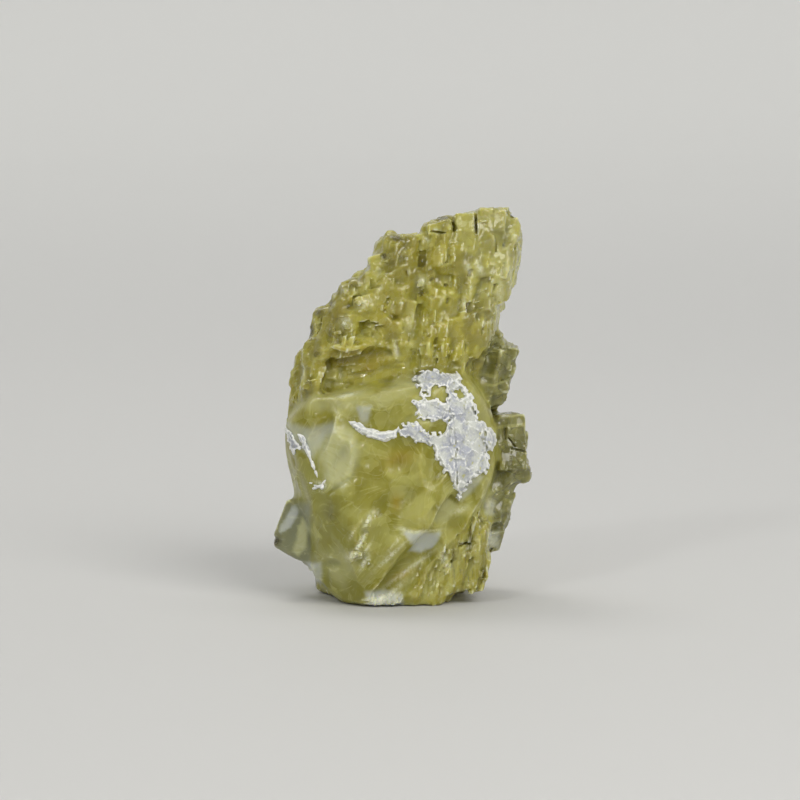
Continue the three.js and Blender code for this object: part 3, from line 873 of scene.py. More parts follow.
def split_long_sides(points, triangles, longest):
    """The same skin with hardly a side longer than a length, so that masks stay sharp where the
    stone is flat: each longer side is halved and its triangles are cut up through its middle,
    twice over."""
    for _ in range(2):
        ends = np.sort(triangles[:, [0, 1, 1, 2, 2, 0]].reshape(-1, 2), axis=1)
        key, side = np.unique(ends @ (len(points), 1), return_inverse=True)
        a, b = points[key // len(points)], points[key % len(points)]
        long = np.linalg.norm(a - b, axis=1) > longest
        middles = np.where(long, len(points) - 1 + np.cumsum(long), -1)[side.reshape(-1, 3)]
        points = np.concatenate([points, (a[long] + b[long]) / 2])
        # Each triangle is turned so that its halved sides come first.
        cut = middles >= 0
        count = cut.sum(axis=1)
        first = np.where(count == 2, cut.argmin(axis=1) + 1, cut.argmax(axis=1))
        order = (first[:, None] + np.arange(3)) % 3
        p, q, r = np.take_along_axis(triangles, order, axis=1).T
        pq, qr, rp = np.take_along_axis(middles, order, axis=1).T
        parts = (
            ((p, q, r),),
            ((p, pq, r), (pq, q, r)),
            ((p, pq, qr), (pq, q, qr), (p, qr, r)),
            ((p, pq, rp), (pq, q, qr), (rp, qr, r), (pq, qr, rp)),
        )
        cut_up = [np.stack(part, axis=1)[count == number] for number in range(4) for part in parts[number]]
        triangles = np.concatenate(cut_up)
    return points, triangles


# ---------------------------------------------------------------------------------------------
# Where the stone's colours lie


def nearness_to(place, line):
    """How far each place lies from a line of several straight stretches."""
    nearest = np.full(len(place), np.inf)
    x, z = place.T
    for (x0, z0), (x1, z1) in zip(line, line[1:]):
        dx, dz = x1 - x0, z1 - z0
        t = np.clip(((x - x0) * dx + (z - z0) * dz) / (dx * dx + dz * dz), 0, 1)
        nearest = np.minimum(nearest, np.hypot(x - x0 - t * dx, z - z0 - t * dz))
    return nearest


def inside_outline(place, outline):
    """How far each place lies inside a closed outline: its distance to the nearest side,
    negative outside. A place is inside where a line to its right crosses an odd number of
    sides."""
    closed = outline + outline[:1]
    inside = np.zeros(len(place), bool)
    x, z = place.T
    for (x0, z0), (x1, z1) in zip(closed, closed[1:]):
        if z0 != z1:
            inside ^= ((z1 > z) != (z0 > z)) & (x < (x0 - x1) * (z - z1) / (z0 - z1) + x1)
    nearest = nearness_to(place, closed)
    return np.where(inside, nearest, -nearest)


def spot(place, centre, radii, lean=0.0):
    """1 at the middle of a leaning oval spot, falling off as a bell, exp(-r^2), to its edge."""
    turn = np.radians(lean)
    x, z = (place - centre).T
    along, across = x * np.cos(turn) + z * np.sin(turn), z * np.cos(turn) - x * np.sin(turn)
    return np.exp(-((along / radii[0]) ** 2) - (across / radii[1]) ** 2)


# Creamy veils in the broken face, and a painted sheen below the lip: an outline, the width of its soft edge,
# and its strength.
VEILS_AND_SHEEN = (
    ([(-16.6, 34.5), (-13.0, 36.2), (-9.2, 35.4), (-8.3, 31.0), (-9.2, 26.6), (-11.6, 23.6), (-14.2, 25.0),
      (-16.4, 29.5)], 2.0, 0.95),
    # the painted sheen below the lip, where a face tips up to the light
    ([(-22.0, 41.6), (-17.0, 42.6), (-12.0, 43.6), (-8.0, 43.0), (-4.0, 43.2), (-1.0, 45.6), (4.0, 47.0),
      (9.0, 46.6), (3.0, 43.4), (-3.0, 40.2), (-12.0, 39.0), (-20.0, 39.4)], 1.6, 0.45),
    ([(1.6, 14.8), (4.4, 15.2), (7.9, 14.9), (7.0, 12.4), (4.6, 11.2), (2.4, 12.2)], 0.6, 1.0),
    ([(6.0, 17.2), (9.2, 21.6), (11.6, 20.2), (9.0, 16.6)], 1.0, 0.6),
    ([(-19.5, 18.4), (-18.5, 15.4), (-18.7, 12.2), (-20.5, 10.0), (-21.7, 11.0), (-20.9, 14.4)], 0.8, 0.9),
    ([(-15.6, 10.4), (-12.4, 12.2), (-9.0, 8.4), (-11.4, 3.4), (-14.0, 6.0)], 2.5, 0.4),
)
# Lilac-white patches, in the same way.
MILKS = (
    ([(0.0, 15.6), (1.2, 15.2), (2.6, 14.6), (8.0, 15.1), (7.7, 13.4), (6.4, 11.6), (4.0, 10.9), (1.6, 11.2),
      (2.6, 12.6), (0.8, 14.2)], 0.7, 1.0),
    ([(-8.7, 40.1), (-5.8, 40.1), (-6.6, 37.1), (-8.0, 36.7)], 0.8, 0.7),
    ([(-7.0, 3.0), (-3.0, 3.4), (0.2, 2.4), (0.4, 0.0), (-6.6, 0.0)], 1.0, 0.9),
    ([(-18.8, 9.0), (-15.8, 9.0), (-16.0, 4.6), (-18.4, 5.4)], 1.0, 0.8),
    ([(-22.8, 36.8), (-18.1, 36.0), (-13.6, 37.0), (-12.6, 35.6), (-15.6, 33.6), (-17.4, 29.6), (-20.1, 31.4),
      (-22.4, 32.6)], 1.4, 0.6),
    ([(-21.3, 20.8), (-20.1, 19.0), (-22.1, 15.8), (-24.1, 14.6), (-24.5, 15.2)], 0.5, 0.9),
    ([(16.6, 21.4), (18.8, 21.0), (18.6, 18.4), (17.0, 18.6)], 1.0, 0.6),
    ([(17.2, 15.0), (19.8, 15.4), (19.6, 12.0), (17.6, 12.4)], 1.0, 0.6),
    ([(12.2, 25.4), (14.0, 26.0), (16.6, 26.2), (14.6, 23.2), (12.0, 20.8)], 1.0, 0.6),
)
# Orange-honey glows: a middle, its half-widths, its lean in degrees and its strength.
GLOWS = (
    ((-0.3, 29.6), (3.2, 1.6), 20, 0.9),
    ((-0.8, 21.0), (0.9, 1.7), 0, 1.0),
    ((0.2, 6.4), (2.6, 0.7), 24, 0.9),
    ((-6.5, 47.8), (1.6, 0.9), 0, 1.0),
    ((-9.0, 49.6), (7.0, 2.2), 5, 0.6),
    ((12.0, 55.0), (5.0, 3.0), 0, 0.3),
    ((-2.0, 57.0), (6.0, 3.5), 60, 0.3),
    ((-12.4, 59.0), (1.0, 4.0), -38, 0.5),
    ((6.4, 70.0), (3.0, 3.0), 0, 0.35),
)
# Clear windows, where the stone lets more light through and is painted darker, as if dark surroundings showed
# through it: a middle, its half-widths, its lean and its strength.
CLEARS = (
    ((-0.8, 73.7), (2.0, 0.7), -12, 1.0),
    ((-3.3, 70.2), (0.7, 0.7), 0, 1.0),
    ((8.4, 77.8), (2.0, 0.6), 8, 0.9),
    ((6.2, 65.6), (0.9, 0.5), 30, 0.9),
    ((4.1, 62.7), (0.6, 0.7), 0, 0.9),
    ((-10.4, 60.1), (0.8, 0.4), 55, 0.9),
    ((-18.1, 55.1), (0.9, 1.8), -10, 1.0),
    ((-16.4, 58.9), (1.2, 0.7), 35, 0.8),
    ((-14.1, 54.7), (0.7, 1.8), 0, 0.7),
    ((-16.6, 50.7), (1.0, 0.5), 0, 0.7),
    ((22.4, 78.2), (0.5, 0.5), 0, 1.0),
    ((10.6, 76.4), (0.4, 2.0), 0, 0.9),
    ((15.1, 76.8), (0.4, 2.2), 0, 0.9),
    ((-13.8, 19.0), (2.6, 2.2), 20, 0.3),
    ((-25.0, 13.2), (1.2, 0.9), 30, 0.9),
    ((10.6, 10.6), (0.6, 2.0), 0, 0.6),
    ((14.0, 14.4), (0.4, 2.4), 0, 0.8),
    ((12.6, 12.7), (2.0, 0.3), 6, 0.8),
    ((16.6, 6.4), (0.4, 1.6), 0, 0.7),
    ((20.8, 35.2), (0.5, 1.4), 0, 0.8),
    ((22.6, 32.8), (1.8, 0.3), -50, 0.8),
    ((24.8, 31.6), (1.4, 0.25), -8, 0.8),
)
# Frosted patches and streaks, partly real bruising and partly painted glints where light catches small
# facets: a middle, its half-widths, its lean and its strength.
FROSTS_AND_GLINTS = (
    ((4.2, 65.1), (0.8, 1.0), -20, 1.0),
    ((5.1, 73.4), (0.5, 0.5), 0, 1.0),
    ((-11.1, 63.2), (0.6, 0.5), 0, 1.0),
    ((-11.1, 56.9), (1.1, 1.0), 0, 1.0),
    ((-7.1, 60.7), (1.8, 1.2), 20, 0.7),
    ((-4.1, 63.7), (1.3, 0.5), 50, 0.6),
    ((12.7, 60.7), (0.4, 1.6), -6, 0.9),
    ((8.2, 61.2), (0.3, 1.2), -20, 0.7),
    ((13.6, 67.7), (0.5, 1.5), 22, 0.8),
    ((15.9, 67.7), (0.6, 1.5), 26, 0.9),
    ((14.1, 63.4), (0.35, 1.5), -8, 0.7),
    ((21.4, 67.6), (1.2, 1.6), 0, 0.5),
    ((20.0, 63.0), (0.7, 3.0), -4, 0.6),
    ((-0.9, 51.7), (0.5, 1.7), 10, 1.0),
    ((2.1, 57.2), (0.7, 2.8), -8, 0.45),
    ((17.6, 56.9), (1.5, 0.3), 15, 0.8),
    ((-19.4, 47.2), (0.5, 2.4), 0, 0.6),
    ((-10.6, 42.4), (2.4, 0.4), 14, 0.8),
    ((-12.4, 38.4), (0.4, 2.0), 30, 0.5),
    ((-15.6, 24.6), (1.8, 0.3), -20, 0.7),
    ((-15.2, 24.8), (0.3, 1.4), 0, 0.6),
    ((-6.4, 17.4), (1.7, 0.45), 62, 1.2),
    ((-8.1, 12.7), (2.4, 0.42), 62, 1.4),
    ((-9.4, 10.3), (1.4, 0.8), 20, 1.3),
    ((-7.2, 9.0), (1.7, 0.4), 62, 1.2),
    ((-9.6, 14.6), (1.2, 0.25), 62, 1.0),
    ((-6.8, 11.4), (1.6, 0.25), 58, 1.0),
    ((-6.6, 28.2), (0.25, 0.25), 0, 1.0),
    ((-4.2, 1.6), (2.6, 0.9), 10, 1.0),
    ((-1.2, 3.4), (2.6, 0.6), 40, 0.6),
    ((8.6, 9.8), (0.8, 1.5), 0, 0.8),
    ((9.6, 8.2), (0.8, 0.6), 0, 0.6),
    ((12.0, 19.4), (1.6, 0.6), 20, 0.6),
    ((17.9, 21.0), (1.2, 1.4), 0, 0.5),
    ((18.2, 13.2), (1.0, 1.2), 0, 0.5),
    ((-2.0, 10.2), (4.1, 0.35), 43, 0.9),
    ((2.0, 7.8), (6.0, 0.35), 36, 0.8),
    ((1.4, 15.3), (2.0, 0.3), -14, 0.9),
    ((5.0, 15.2), (3.2, 0.2), 4, 0.9),
    ((-1.0, 12.9), (2.4, 0.25), 52, 0.7),
)


# The white crust: outlines seen from the front, each with its thickness and how ragged it is.
CRUST = (
    ([(9.5, 46.4), (11.3, 46.8), (13.3, 44.0), (14.5, 41.4), (15.9, 37.8), (17.3, 36.0), (17.7, 33.4),
      (17.5, 31.4), (17.9, 29.4), (17.5, 26.8), (15.5, 26.4), (13.9, 24.6), (11.7, 21.0), (11.3, 23.0),
      (10.3, 25.0), (8.9, 26.8), (7.3, 29.4), (6.5, 31.4), (5.5, 33.4), (6.5, 34.6), (9.1, 35.8),
      (9.9, 37.4), (9.5, 40.4)], 0.55, 1.0),
    ([(16.6, 35.6), (18.2, 36.2), (19.1, 34.4), (19.3, 32.6), (18.4, 31.2), (17.2, 31.0),
      (16.4, 33.0)], 0.9, 0.3),
    ([(2.5, 46.0), (5.3, 47.8), (7.9, 47.2), (9.9, 46.6), (10.3, 44.6), (7.9, 44.2), (5.5, 43.8),
      (5.5, 41.0), (4.1, 41.0), (3.9, 43.0)], 0.4, 1.0),
    ([(2.1, 40.8), (4.1, 41.4), (7.1, 41.6), (9.9, 41.0), (10.3, 37.4), (7.5, 37.0), (4.9, 37.2),
      (2.7, 38.2), (3.3, 39.4)], 0.5, 1.0),
    ([(-0.9, 35.2), (0.7, 36.6), (3.5, 37.2), (4.7, 36.0), (6.3, 34.6), (5.5, 33.2), (3.9, 32.8),
      (1.9, 34.0), (-0.1, 33.8)], 0.35, 0.9),
    ([(-10.5, 37.2), (-8.9, 37.0), (-6.9, 36.0), (-4.1, 35.2), (-0.4, 35.6), (-0.6, 33.8), (-3.3, 33.0),
      (-6.5, 34.0), (-9.7, 35.8)], 0.45, 0.35),
    ([(-23.1, 36.0), (-22.1, 35.4), (-20.9, 33.4), (-20.1, 32.0), (-21.3, 30.4), (-22.1, 31.8),
      (-22.9, 33.8)], 0.3, 0.7),
    ([(-20.9, 34.6), (-19.5, 34.4), (-18.3, 32.2), (-17.3, 29.0), (-16.5, 25.8), (-17.9, 28.2),
      (-19.1, 31.0)], 0.35, 0.45),
    ([(-18.5, 25.0), (-16.1, 24.6), (-14.9, 25.4), (-15.5, 23.8), (-17.3, 23.6)], 0.25, 0.8),
)
# Bare windows in it.
CRUST_WINDOWS = (
    [(4.5, 36.0), (6.6, 36.2), (8.9, 35.5), (8.2, 34.7), (6.6, 34.5), (5.2, 34.9)],
    [(7.1, 43.2), (8.3, 44.2), (9.5, 43.4), (8.9, 41.9), (7.7, 42.4), (6.7, 41.8)],
    [(4.4, 42.6), (5.4, 43.4), (6.2, 42.8), (5.6, 41.6)],
    [(11.2, 43.0), (12.0, 43.6), (12.6, 42.4), (11.8, 41.8)],
)
# Lumps on it: a middle, its half-widths, its lean and its height.
CRUST_LUMPS = (
    ((17.8, 33.6), (1.1, 1.8), 0, 0.7),
    ((2.4, 35.4), (1.6, 1.2), 20, 0.5),
    ((4.6, 36.4), (1.0, 0.8), 0, 0.4),
    ((12.2, 44.6), (1.0, 1.6), -60, 0.5),
    ((14.8, 41.2), (0.7, 2.4), -20, 0.4),
    ((9.0, 39.8), (0.9, 1.2), 0, 0.5),
    ((16.2, 36.6), (0.7, 1.4), -10, 0.3),
    ((-7.0, 35.9), (3.0, 0.6), -24, 0.3),
)
# Cracks in it: a line, the width on each side and the depth.
CRUST_CRACKS = (
    ([(10.9, 34.0), (11.3, 31.6), (10.9, 29.6), (11.4, 26.4), (11.2, 24.0), (11.6, 21.2)], 0.20, 0.45),
    ([(8.6, 39.6), (10.6, 38.0), (10.9, 34.0), (13.4, 32.4), (17.2, 27.6)], 0.12, 0.25),
    ([(10.9, 34.0), (14.0, 37.2), (15.2, 40.6)], 0.10, 0.22),
    ([(11.3, 31.6), (8.4, 33.0), (6.6, 33.6)], 0.10, 0.22),
    ([(11.1, 28.4), (14.6, 30.0), (17.6, 32.0)], 0.08, 0.18),
    ([(9.6, 41.4), (11.4, 40.4), (11.0, 38.0)], 0.10, 0.20),
)
CRUST_ROOT = 0.3  # how deep it reaches into the stone
# Its plates: their size and how much they tip and stand out or in, then the width and the depth
# of the joints between them, and the height and the width of the welds.
PLATES = {"size": 2.5, "tilt": 0.11, "lift": 0.26, "gap": 0.14, "dip": 0.12, "weld": 0.2, "seam": 0.5}
CRUMBS = 0.7  # the size of the crumbs that its ragged edge follows
# Clouds of the crust: the height, the size and the seed of each.
CRUST_CLOUDS = {
    "rags": (0.7, 1.8, 63),  # in its outline
    "relief": (0.14, 0.8, 67),
    "welds": (1.0, 3.0, 69),  # its joints are welded where this is high
    "sway": (0.10, 0.8, 68),  # how its cracks stray
}
WELDED = (-0.1, 0.25)  # from where to where in the cloud of welds a joint becomes a weld
RIM_WIDTH = (1.1, 0.3)  # how far in from its outline the rim starts and ends rising
CRUST_RIM = 0.3  # how far its edge stands higher
THINNEST = 0.08
CRUST_SLOPE = 1.6  # how steeply it rises from its outline
CRUST_UP = (20, 49)  # where it lies, up from the foot
CRUST_BACK = (2, -4)  # how far back it reaches, in y, on the left and on the right


def crust_depth(places):
    """How thick the crust is at each place, in millimetres, below 0 where there is none: its
    thickness, or as much again as its distance from its ragged outline if that is less. It is
    made of small plates that tip and stand at different heights, with sunk or welded joints,
    cracks and lumps."""
    seen = seen_from_front(places)
    random = np.random.default_rng(61)
    crumb, _, _ = scattered_cells(seen, CRUMBS, 62)
    ragged = (random.random(crumb.max() + 1) - 0.5)[crumb] + swell(places, *CRUST_CLOUDS["rags"])
    plate, way, apart = scattered_cells(seen, PLATES["size"], 64)
    tips = random.normal(0, PLATES["tilt"], (plate.max() + 1, 2))[plate]
    lift = PLATES["lift"] * (random.random(plate.max() + 1) - 0.5)[plate]
    relief = lift + (tips * way).sum(axis=1) + swell(places, *CRUST_CLOUDS["relief"])
    welded = smoothstep(*WELDED, swell(places, *CRUST_CLOUDS["welds"]))
    relief -= PLATES["dip"] * (1 - welded) * smoothstep(PLATES["gap"], 0, apart)
    relief += PLATES["weld"] * welded * smoothstep(PLATES["seam"], 0.1, apart)
    sway = swell(places, *CRUST_CLOUDS["sway"])
    for line, width, depth in CRUST_CRACKS:
        relief -= depth * smoothstep(width, 0, nearness_to(seen, line) + sway)
    relief += patches(seen, CRUST_LUMPS)
    thick = np.full(len(places), -1.0)
    windows = functools.reduce(np.minimum, [-inside_outline(seen, outline) for outline in CRUST_WINDOWS])
    for outline, most, rags in CRUST:
        inside = np.minimum(inside_outline(seen, outline), windows) + rags * ragged
        rim = CRUST_RIM * smoothstep(*RIM_WIDTH, inside)
        here = np.minimum(np.maximum(most + relief + rim, THINNEST), CRUST_SLOPE * inside)
        thick = np.maximum(thick, here)
    return thick


def crust_field(field):
    """The field of the crust: it stands as thick as crust_depth over the stone, and reaches
    CRUST_ROOT into it. It is kept off the back."""
    index, places = field.near(NEAR)
    over = np.full(field.values.shape, NEAR, np.float32)
    near = field.values[index]
    up = seen_from_front(places)[:, 1]
    front = places[:, 1] < np.where(places[:, 0] > 0, *CRUST_BACK[::-1])
    rows = np.nonzero(front & (up > CRUST_UP[0]) & (up < CRUST_UP[1]))[0]
    thick = crust_depth(places[rows])
    chosen = tuple(axis[rows] for axis in index)
    over[chosen] = np.maximum(near[rows] - thick, -(near[rows] + CRUST_ROOT))
    return Field(over, field.low, field.step)


# How far, in millimetres, a skin stands out of its blurred self where it begins to be an edge and
# where it is one wholly, or as much sunk in it for a groove. Edges carry painted highlights and
# grooves painted shade.
EDGES = {"ridge": (0.02, 0.09), "rim": (0.01, 0.045), "groove": (0.03, 0.35), "crust": (0.02, 0.12)}
FINE, BROADER, BROAD = 0.35, 0.5, 0.9  # the radii of the blurs


def crust_masks(crust, points):
    """Where the crust stands out in edges, and where it is sunk in joints and cracks."""
    here = crust.at(points)
    return {
        "ridge": smoothstep(*EDGES["crust"], crust.blurred(FINE, 1).at(points) - here),
        "joint": smoothstep(*EDGES["crust"], here - crust.blurred(BROADER, 1).at(points)),
    }


def patches(place, table):
    """The strongest of a table's oval spots at each place."""
    found = np.zeros(len(place))
    for centre, radii, lean, strength in table:
        found = np.maximum(found, strength * spot(place, centre, radii, lean))
    return found


def outlined(place, table, ragged):
    """The strongest of a table's outlined patches at each place, with a ragged soft edge."""
    found = np.zeros(len(place))
    for outline, soft, strength in table:
        depth = inside_outline(place, outline) + ragged
        found = np.maximum(found, strength * smoothstep(-soft / 2, soft / 2, depth))
    return found


# Where three colours of the stone set in: from where to where across, and up from the foot.
REGIONS = {
    "pale": ((8, 20), (50, 60)),
    "murky": ((-5, -15), (34, 24)),
    "splinter": ((-17.5, -18.5), (22, 20)),
}
FRONT = 3  # patches lie in front of this, in y
SIDES_TOO = 6  # and veils, which reach round the sides, in front of this
CRYSTAL_EDGE = 2.0  # how wide the change is from the colour of one crystal to the next
SHARE = (0.3, 0.7)  # from where to where in that change a place goes over to a crystal
RIM_STRENGTH = 0.4  # how much of a ridge the rims of the broken face are
OUTLINE_RAGS = (1.0, 3.0, 51)  # the cloud in the outlines of veils and milky patches


def stone_masks(field, makeup, points):
    """Where the stone is milky, honey, grey and so on, as numbers from 0 to 1 for each corner. It
    is a ridge where it stands out of its blurred self, where painted highlights go, and a groove
    where it lies sunk in it, where painted shade goes."""
    place = seen_from_front(points)
    across, up = place.T
    kinds = makeup.at(points)
    front, sides = points[:, 1] < FRONT, points[:, 1] < SIDES_TOO
    here = field.at(points)
    standing = field.blurred(FINE, 1).at(points) - here
    ragged = swell(points, *OUTLINE_RAGS)
    _, tone = jumbled_blocks(points, kinds)
    belongs = {
        kind: smoothstep(*SHARE, blend_nearby(points, kinds == KINDS.index(kind), CRYSTAL_EDGE))
        for kind in ("rear", "ribbed", BROKEN)
    }
    regions = {
        name: smoothstep(*reach, across) * smoothstep(*rise, up)
        for name, (reach, rise) in REGIONS.items()
    }
    rims = RIM_STRENGTH * belongs[BROKEN] * smoothstep(*EDGES["rim"], standing)
    return belongs | regions | {
        # The ridge is where painted highlights go along the edges.
        "ridge": np.maximum(smoothstep(*EDGES["ridge"], standing), rims),
        # The groove is where painted shade goes in hollows.
        "groove": smoothstep(*EDGES["groove"], here - field.blurred(BROAD).at(points)),
        "tone": tone,
        # Veils, and the painted sheen below the lip.
        "veil": outlined(place, VEILS_AND_SHEEN, 0.7 * ragged) * sides,
        "milk": outlined(place, MILKS, 0.4 * ragged) * sides,
        "glow": patches(place, GLOWS) * front,
        # Clear windows: clearer, and painted darker as if dark surroundings showed through.
        "clear": patches(place, CLEARS) * front,
        # Frost patches: partly real bruising, partly painted glints.
        "frost": np.minimum(patches(place, FROSTS_AND_GLINTS), 1) * front,
    }


def blend_nearby(points, chosen, size):
    """The share of points chosen around each: counted in cubic cells of a size, then averaged
    over each cell and its neighbours along x, y and z, which softens a yes or no."""
    cells = np.floor((points - points.min(axis=0)) / size).astype(int)
    shape = tuple(cells.max(axis=0) + 1)
    where = np.ravel_multi_index(cells.T, shape)
    both = [np.bincount(where, weights, np.prod(shape)).reshape(shape) for weights in (chosen, None)]
    for axis in range(3):
        both = [np.roll(grid, 1, axis) + 2 * grid + np.roll(grid, -1, axis) for grid in both]
    share = (both[0] / np.maximum(both[1], 1e-9)).astype(np.float32)
    return Field(share, points.min(axis=0) + size / 2, size).at(points)


# ---------------------------------------------------------------------------------------------
# Finishes


class Finish:
    """A material under construction: nodes added one after another, each fed by values or by
    the outputs of others."""

    def __init__(self, name):
        self.material = bpy.data.materials.new(name)
        self.material.use_nodes = True
        self.tree = self.material.node_tree
        self.tree.nodes.clear()
        self.place = self.add("ShaderNodeTexCoord").outputs["Object"]

    def add(self, kind, sockets=None, **settings):
        """A node, with its settings, and a value or another node's output for each socket."""
        node = self.tree.nodes.new(kind)
        for name, value in settings.items():
            setattr(node, name, value)
        for name, value in (sockets or {}).items():
            if isinstance(value, bpy.types.NodeSocket):
                self.tree.links.new(value, node.inputs[name])
            else:
                node.inputs[name].default_value = value
        return node

    def mask(self, name):
        """A mask held in the mesh."""
        return self.add("ShaderNodeAttribute", attribute_name=name).outputs["Fac"]

    def noise(self, per_mm, detail=2.0, roughness=0.5, place=None, **more):
        """A smooth noise from 0 to 1 with so many humps to the millimetre."""
        sockets = {"Vector": place or self.place, "Scale": per_mm / MM}
        sockets |= {"Detail": detail, "Roughness": roughness} | more
        return self.add("ShaderNodeTexNoise", sockets).outputs["Fac"]

    def math(self, operation, *values):
        """A sum, product or the like of two values, or of more taken two by two."""
        *before, last = values
        first = before[0] if len(before) == 1 else self.math(operation, *before)
        return self.add("ShaderNodeMath", {0: first, 1: last}, operation=operation).outputs[0]

    def product(self, *values):
        return self.math("MULTIPLY", *values)

    def total(self, *values):
        return self.math("ADD", *values)

    def less(self, value, part):
        return self.math("SUBTRACT", value, part)

    def vector(self, operation, *values):
        """A sum, difference or the like of vectors, or a vector scaled by a number."""
        sockets = zip((0, "Scale") if operation == "SCALE" else (0, 1), values)
        return self.add("ShaderNodeVectorMath", dict(sockets), operation=operation).outputs[0]

    def ramp(self, value, low, high, to_low=0.0, to_high=1.0):
        """A value taken from one range to another along a smooth step."""
        sockets = {"Value": value, "From Min": low, "From Max": high, "To Min": to_low, "To Max": to_high}
        return self.add("ShaderNodeMapRange", sockets, interpolation_type="SMOOTHSTEP").outputs["Result"]

    def mix(self, share, low, high, blend="MIX"):
        """Two colours mixed."""
        node = self.add("ShaderNodeMix", data_type="RGBA", blend_type=blend)
        for socket, value in zip((node.inputs[0], node.inputs[6], node.inputs[7]), (share, low, high)):
            if isinstance(value, bpy.types.NodeSocket):
                self.tree.links.new(value, socket)
            else:
                socket.default_value = value if isinstance(value, float) else (*value, 1.0)
        return node.outputs[2]

    def coats(self, colour, colours, layers):
        """A colour with layers laid over it one after another, each a share of a named colour."""
        for name, share in layers:
            colour = self.mix(share, colour, tuple(getattr(colours, name)))
        return colour

    def stretched(self, turn, scale):
        """The place turned about x, y and z and stretched along each."""
        sockets = {"Vector": self.place, "Rotation": turn, "Scale": scale}
        return self.add("ShaderNodeMapping", sockets).outputs[0]

    def along(self, direction):
        """How far each place lies along a direction."""
        sockets = {0: self.place, 1: tuple(direction)}
        return self.add("ShaderNodeVectorMath", sockets, operation="DOT_PRODUCT").outputs["Value"]

    def blocks(self, turn, per_mm):
        """The blocks of a cleavage lattice, cut out round points scattered one to a cube, with
        distance taken as the greatest of the three measured square to the cleavage planes. Gives
        a tone and a small turn that are the same all over a block, and 1 along its edges."""
        ways = [self.along(way) for way in cleavage_planes(cleavage_edges(turn))]
        lattice = self.add("ShaderNodeCombineXYZ", dict(enumerate(ways))).outputs[0]
        sockets = {"Vector": lattice, "Scale": per_mm / MM, "Randomness": 0.85}
        first, second = (
            self.add("ShaderNodeTexVoronoi", sockets, distance="CHEBYCHEV", feature=feature).outputs
            for feature in ("F1", "F2")
        )
        turn = self.vector("SUBTRACT", first["Color"], (0.5, 0.5, 0.5))
        apart = self.less(second["Distance"], first["Distance"])
        tone = self.add("ShaderNodeSeparateColor", {0: first["Color"]}).outputs[0]
        return tone, turn, self.ramp(apart, 0.0, 0.09, 1.0, 0.0)

    def facing(self, *turns):
        """The way the skin faces, turned a little by each of some turns in its own share."""
        way = self.add("ShaderNodeNewGeometry").outputs["Normal"]
        for turn, share in turns:
            way = self.vector("ADD", way, self.vector("SCALE", turn, share))
        return self.vector("NORMALIZE", way)

    def shells(self, per_mm, waviness):
        """Shell-shaped breaks: cells round scattered points, each hollow like a dish. Gives the way
        from a cell's point to each place, a tone for each cell, and 1 along their edges."""
        sockets = {"Vector": self.place, "Scale": 0.3 / MM, "Detail": 2.0}
        wave = self.add("ShaderNodeTexNoise", sockets).outputs["Color"]
        place = self.vector("ADD", self.place, self.vector("SCALE", wave, waviness * MM))
        place = self.vector("SCALE", place, per_mm / MM)
        sockets = {"Vector": place, "Scale": 1.0}
        cells = self.add("ShaderNodeTexVoronoi", sockets).outputs
        edges = self.add("ShaderNodeTexVoronoi", sockets, feature="DISTANCE_TO_EDGE").outputs
        tone = self.add("ShaderNodeSeparateColor", {0: cells["Color"]}).outputs[0]
        way = self.vector("SUBTRACT", place, cells["Position"])
        return way, tone, self.ramp(edges["Distance"], 0.0, 0.03, 1.0, 0.0)

    def veins(self, per_mm, width):
        """1 on thin lines where the cells round scattered points meet, and 0 between."""
        sockets = {"Vector": self.place, "Scale": per_mm / MM}
        cells = self.add("ShaderNodeTexVoronoi", sockets, feature="DISTANCE_TO_EDGE")
        return self.ramp(cells.outputs["Distance"], 0.0, width, 1.0, 0.0)

    def stripes(self, direction, per_mm, sway=0.0):
        """Lines square to a direction, as a noise from 0 to 1 along it, that sway by so many
        millimetres."""
        far = self.product(self.along(direction), 1 / MM)
        if sway:
            far = self.total(far, self.product(self.noise(0.07, 1.0), sway))
        sockets = {"W": far, "Scale": per_mm, "Detail": 3.0}
        return self.add("ShaderNodeTexNoise", sockets, noise_dimensions="1D").outputs["Fac"]

    def bump(self, height, distance_mm, strength=1.0, normal=None):
        """A bumpy skin, as high as a height from 0 to 1 times a distance."""
        sockets = {"Height": height, "Distance": distance_mm * MM, "Strength": strength}
        if normal:
            sockets["Normal"] = normal
        return self.add("ShaderNodeBump", sockets).outputs["Normal"]

    def finish(self, surface, volume=None):
        """The finished material."""
        output = self.add("ShaderNodeOutputMaterial", {"Surface": surface})
        if volume:
            self.tree.links.new(volume, output.inputs["Volume"])
        return self.material


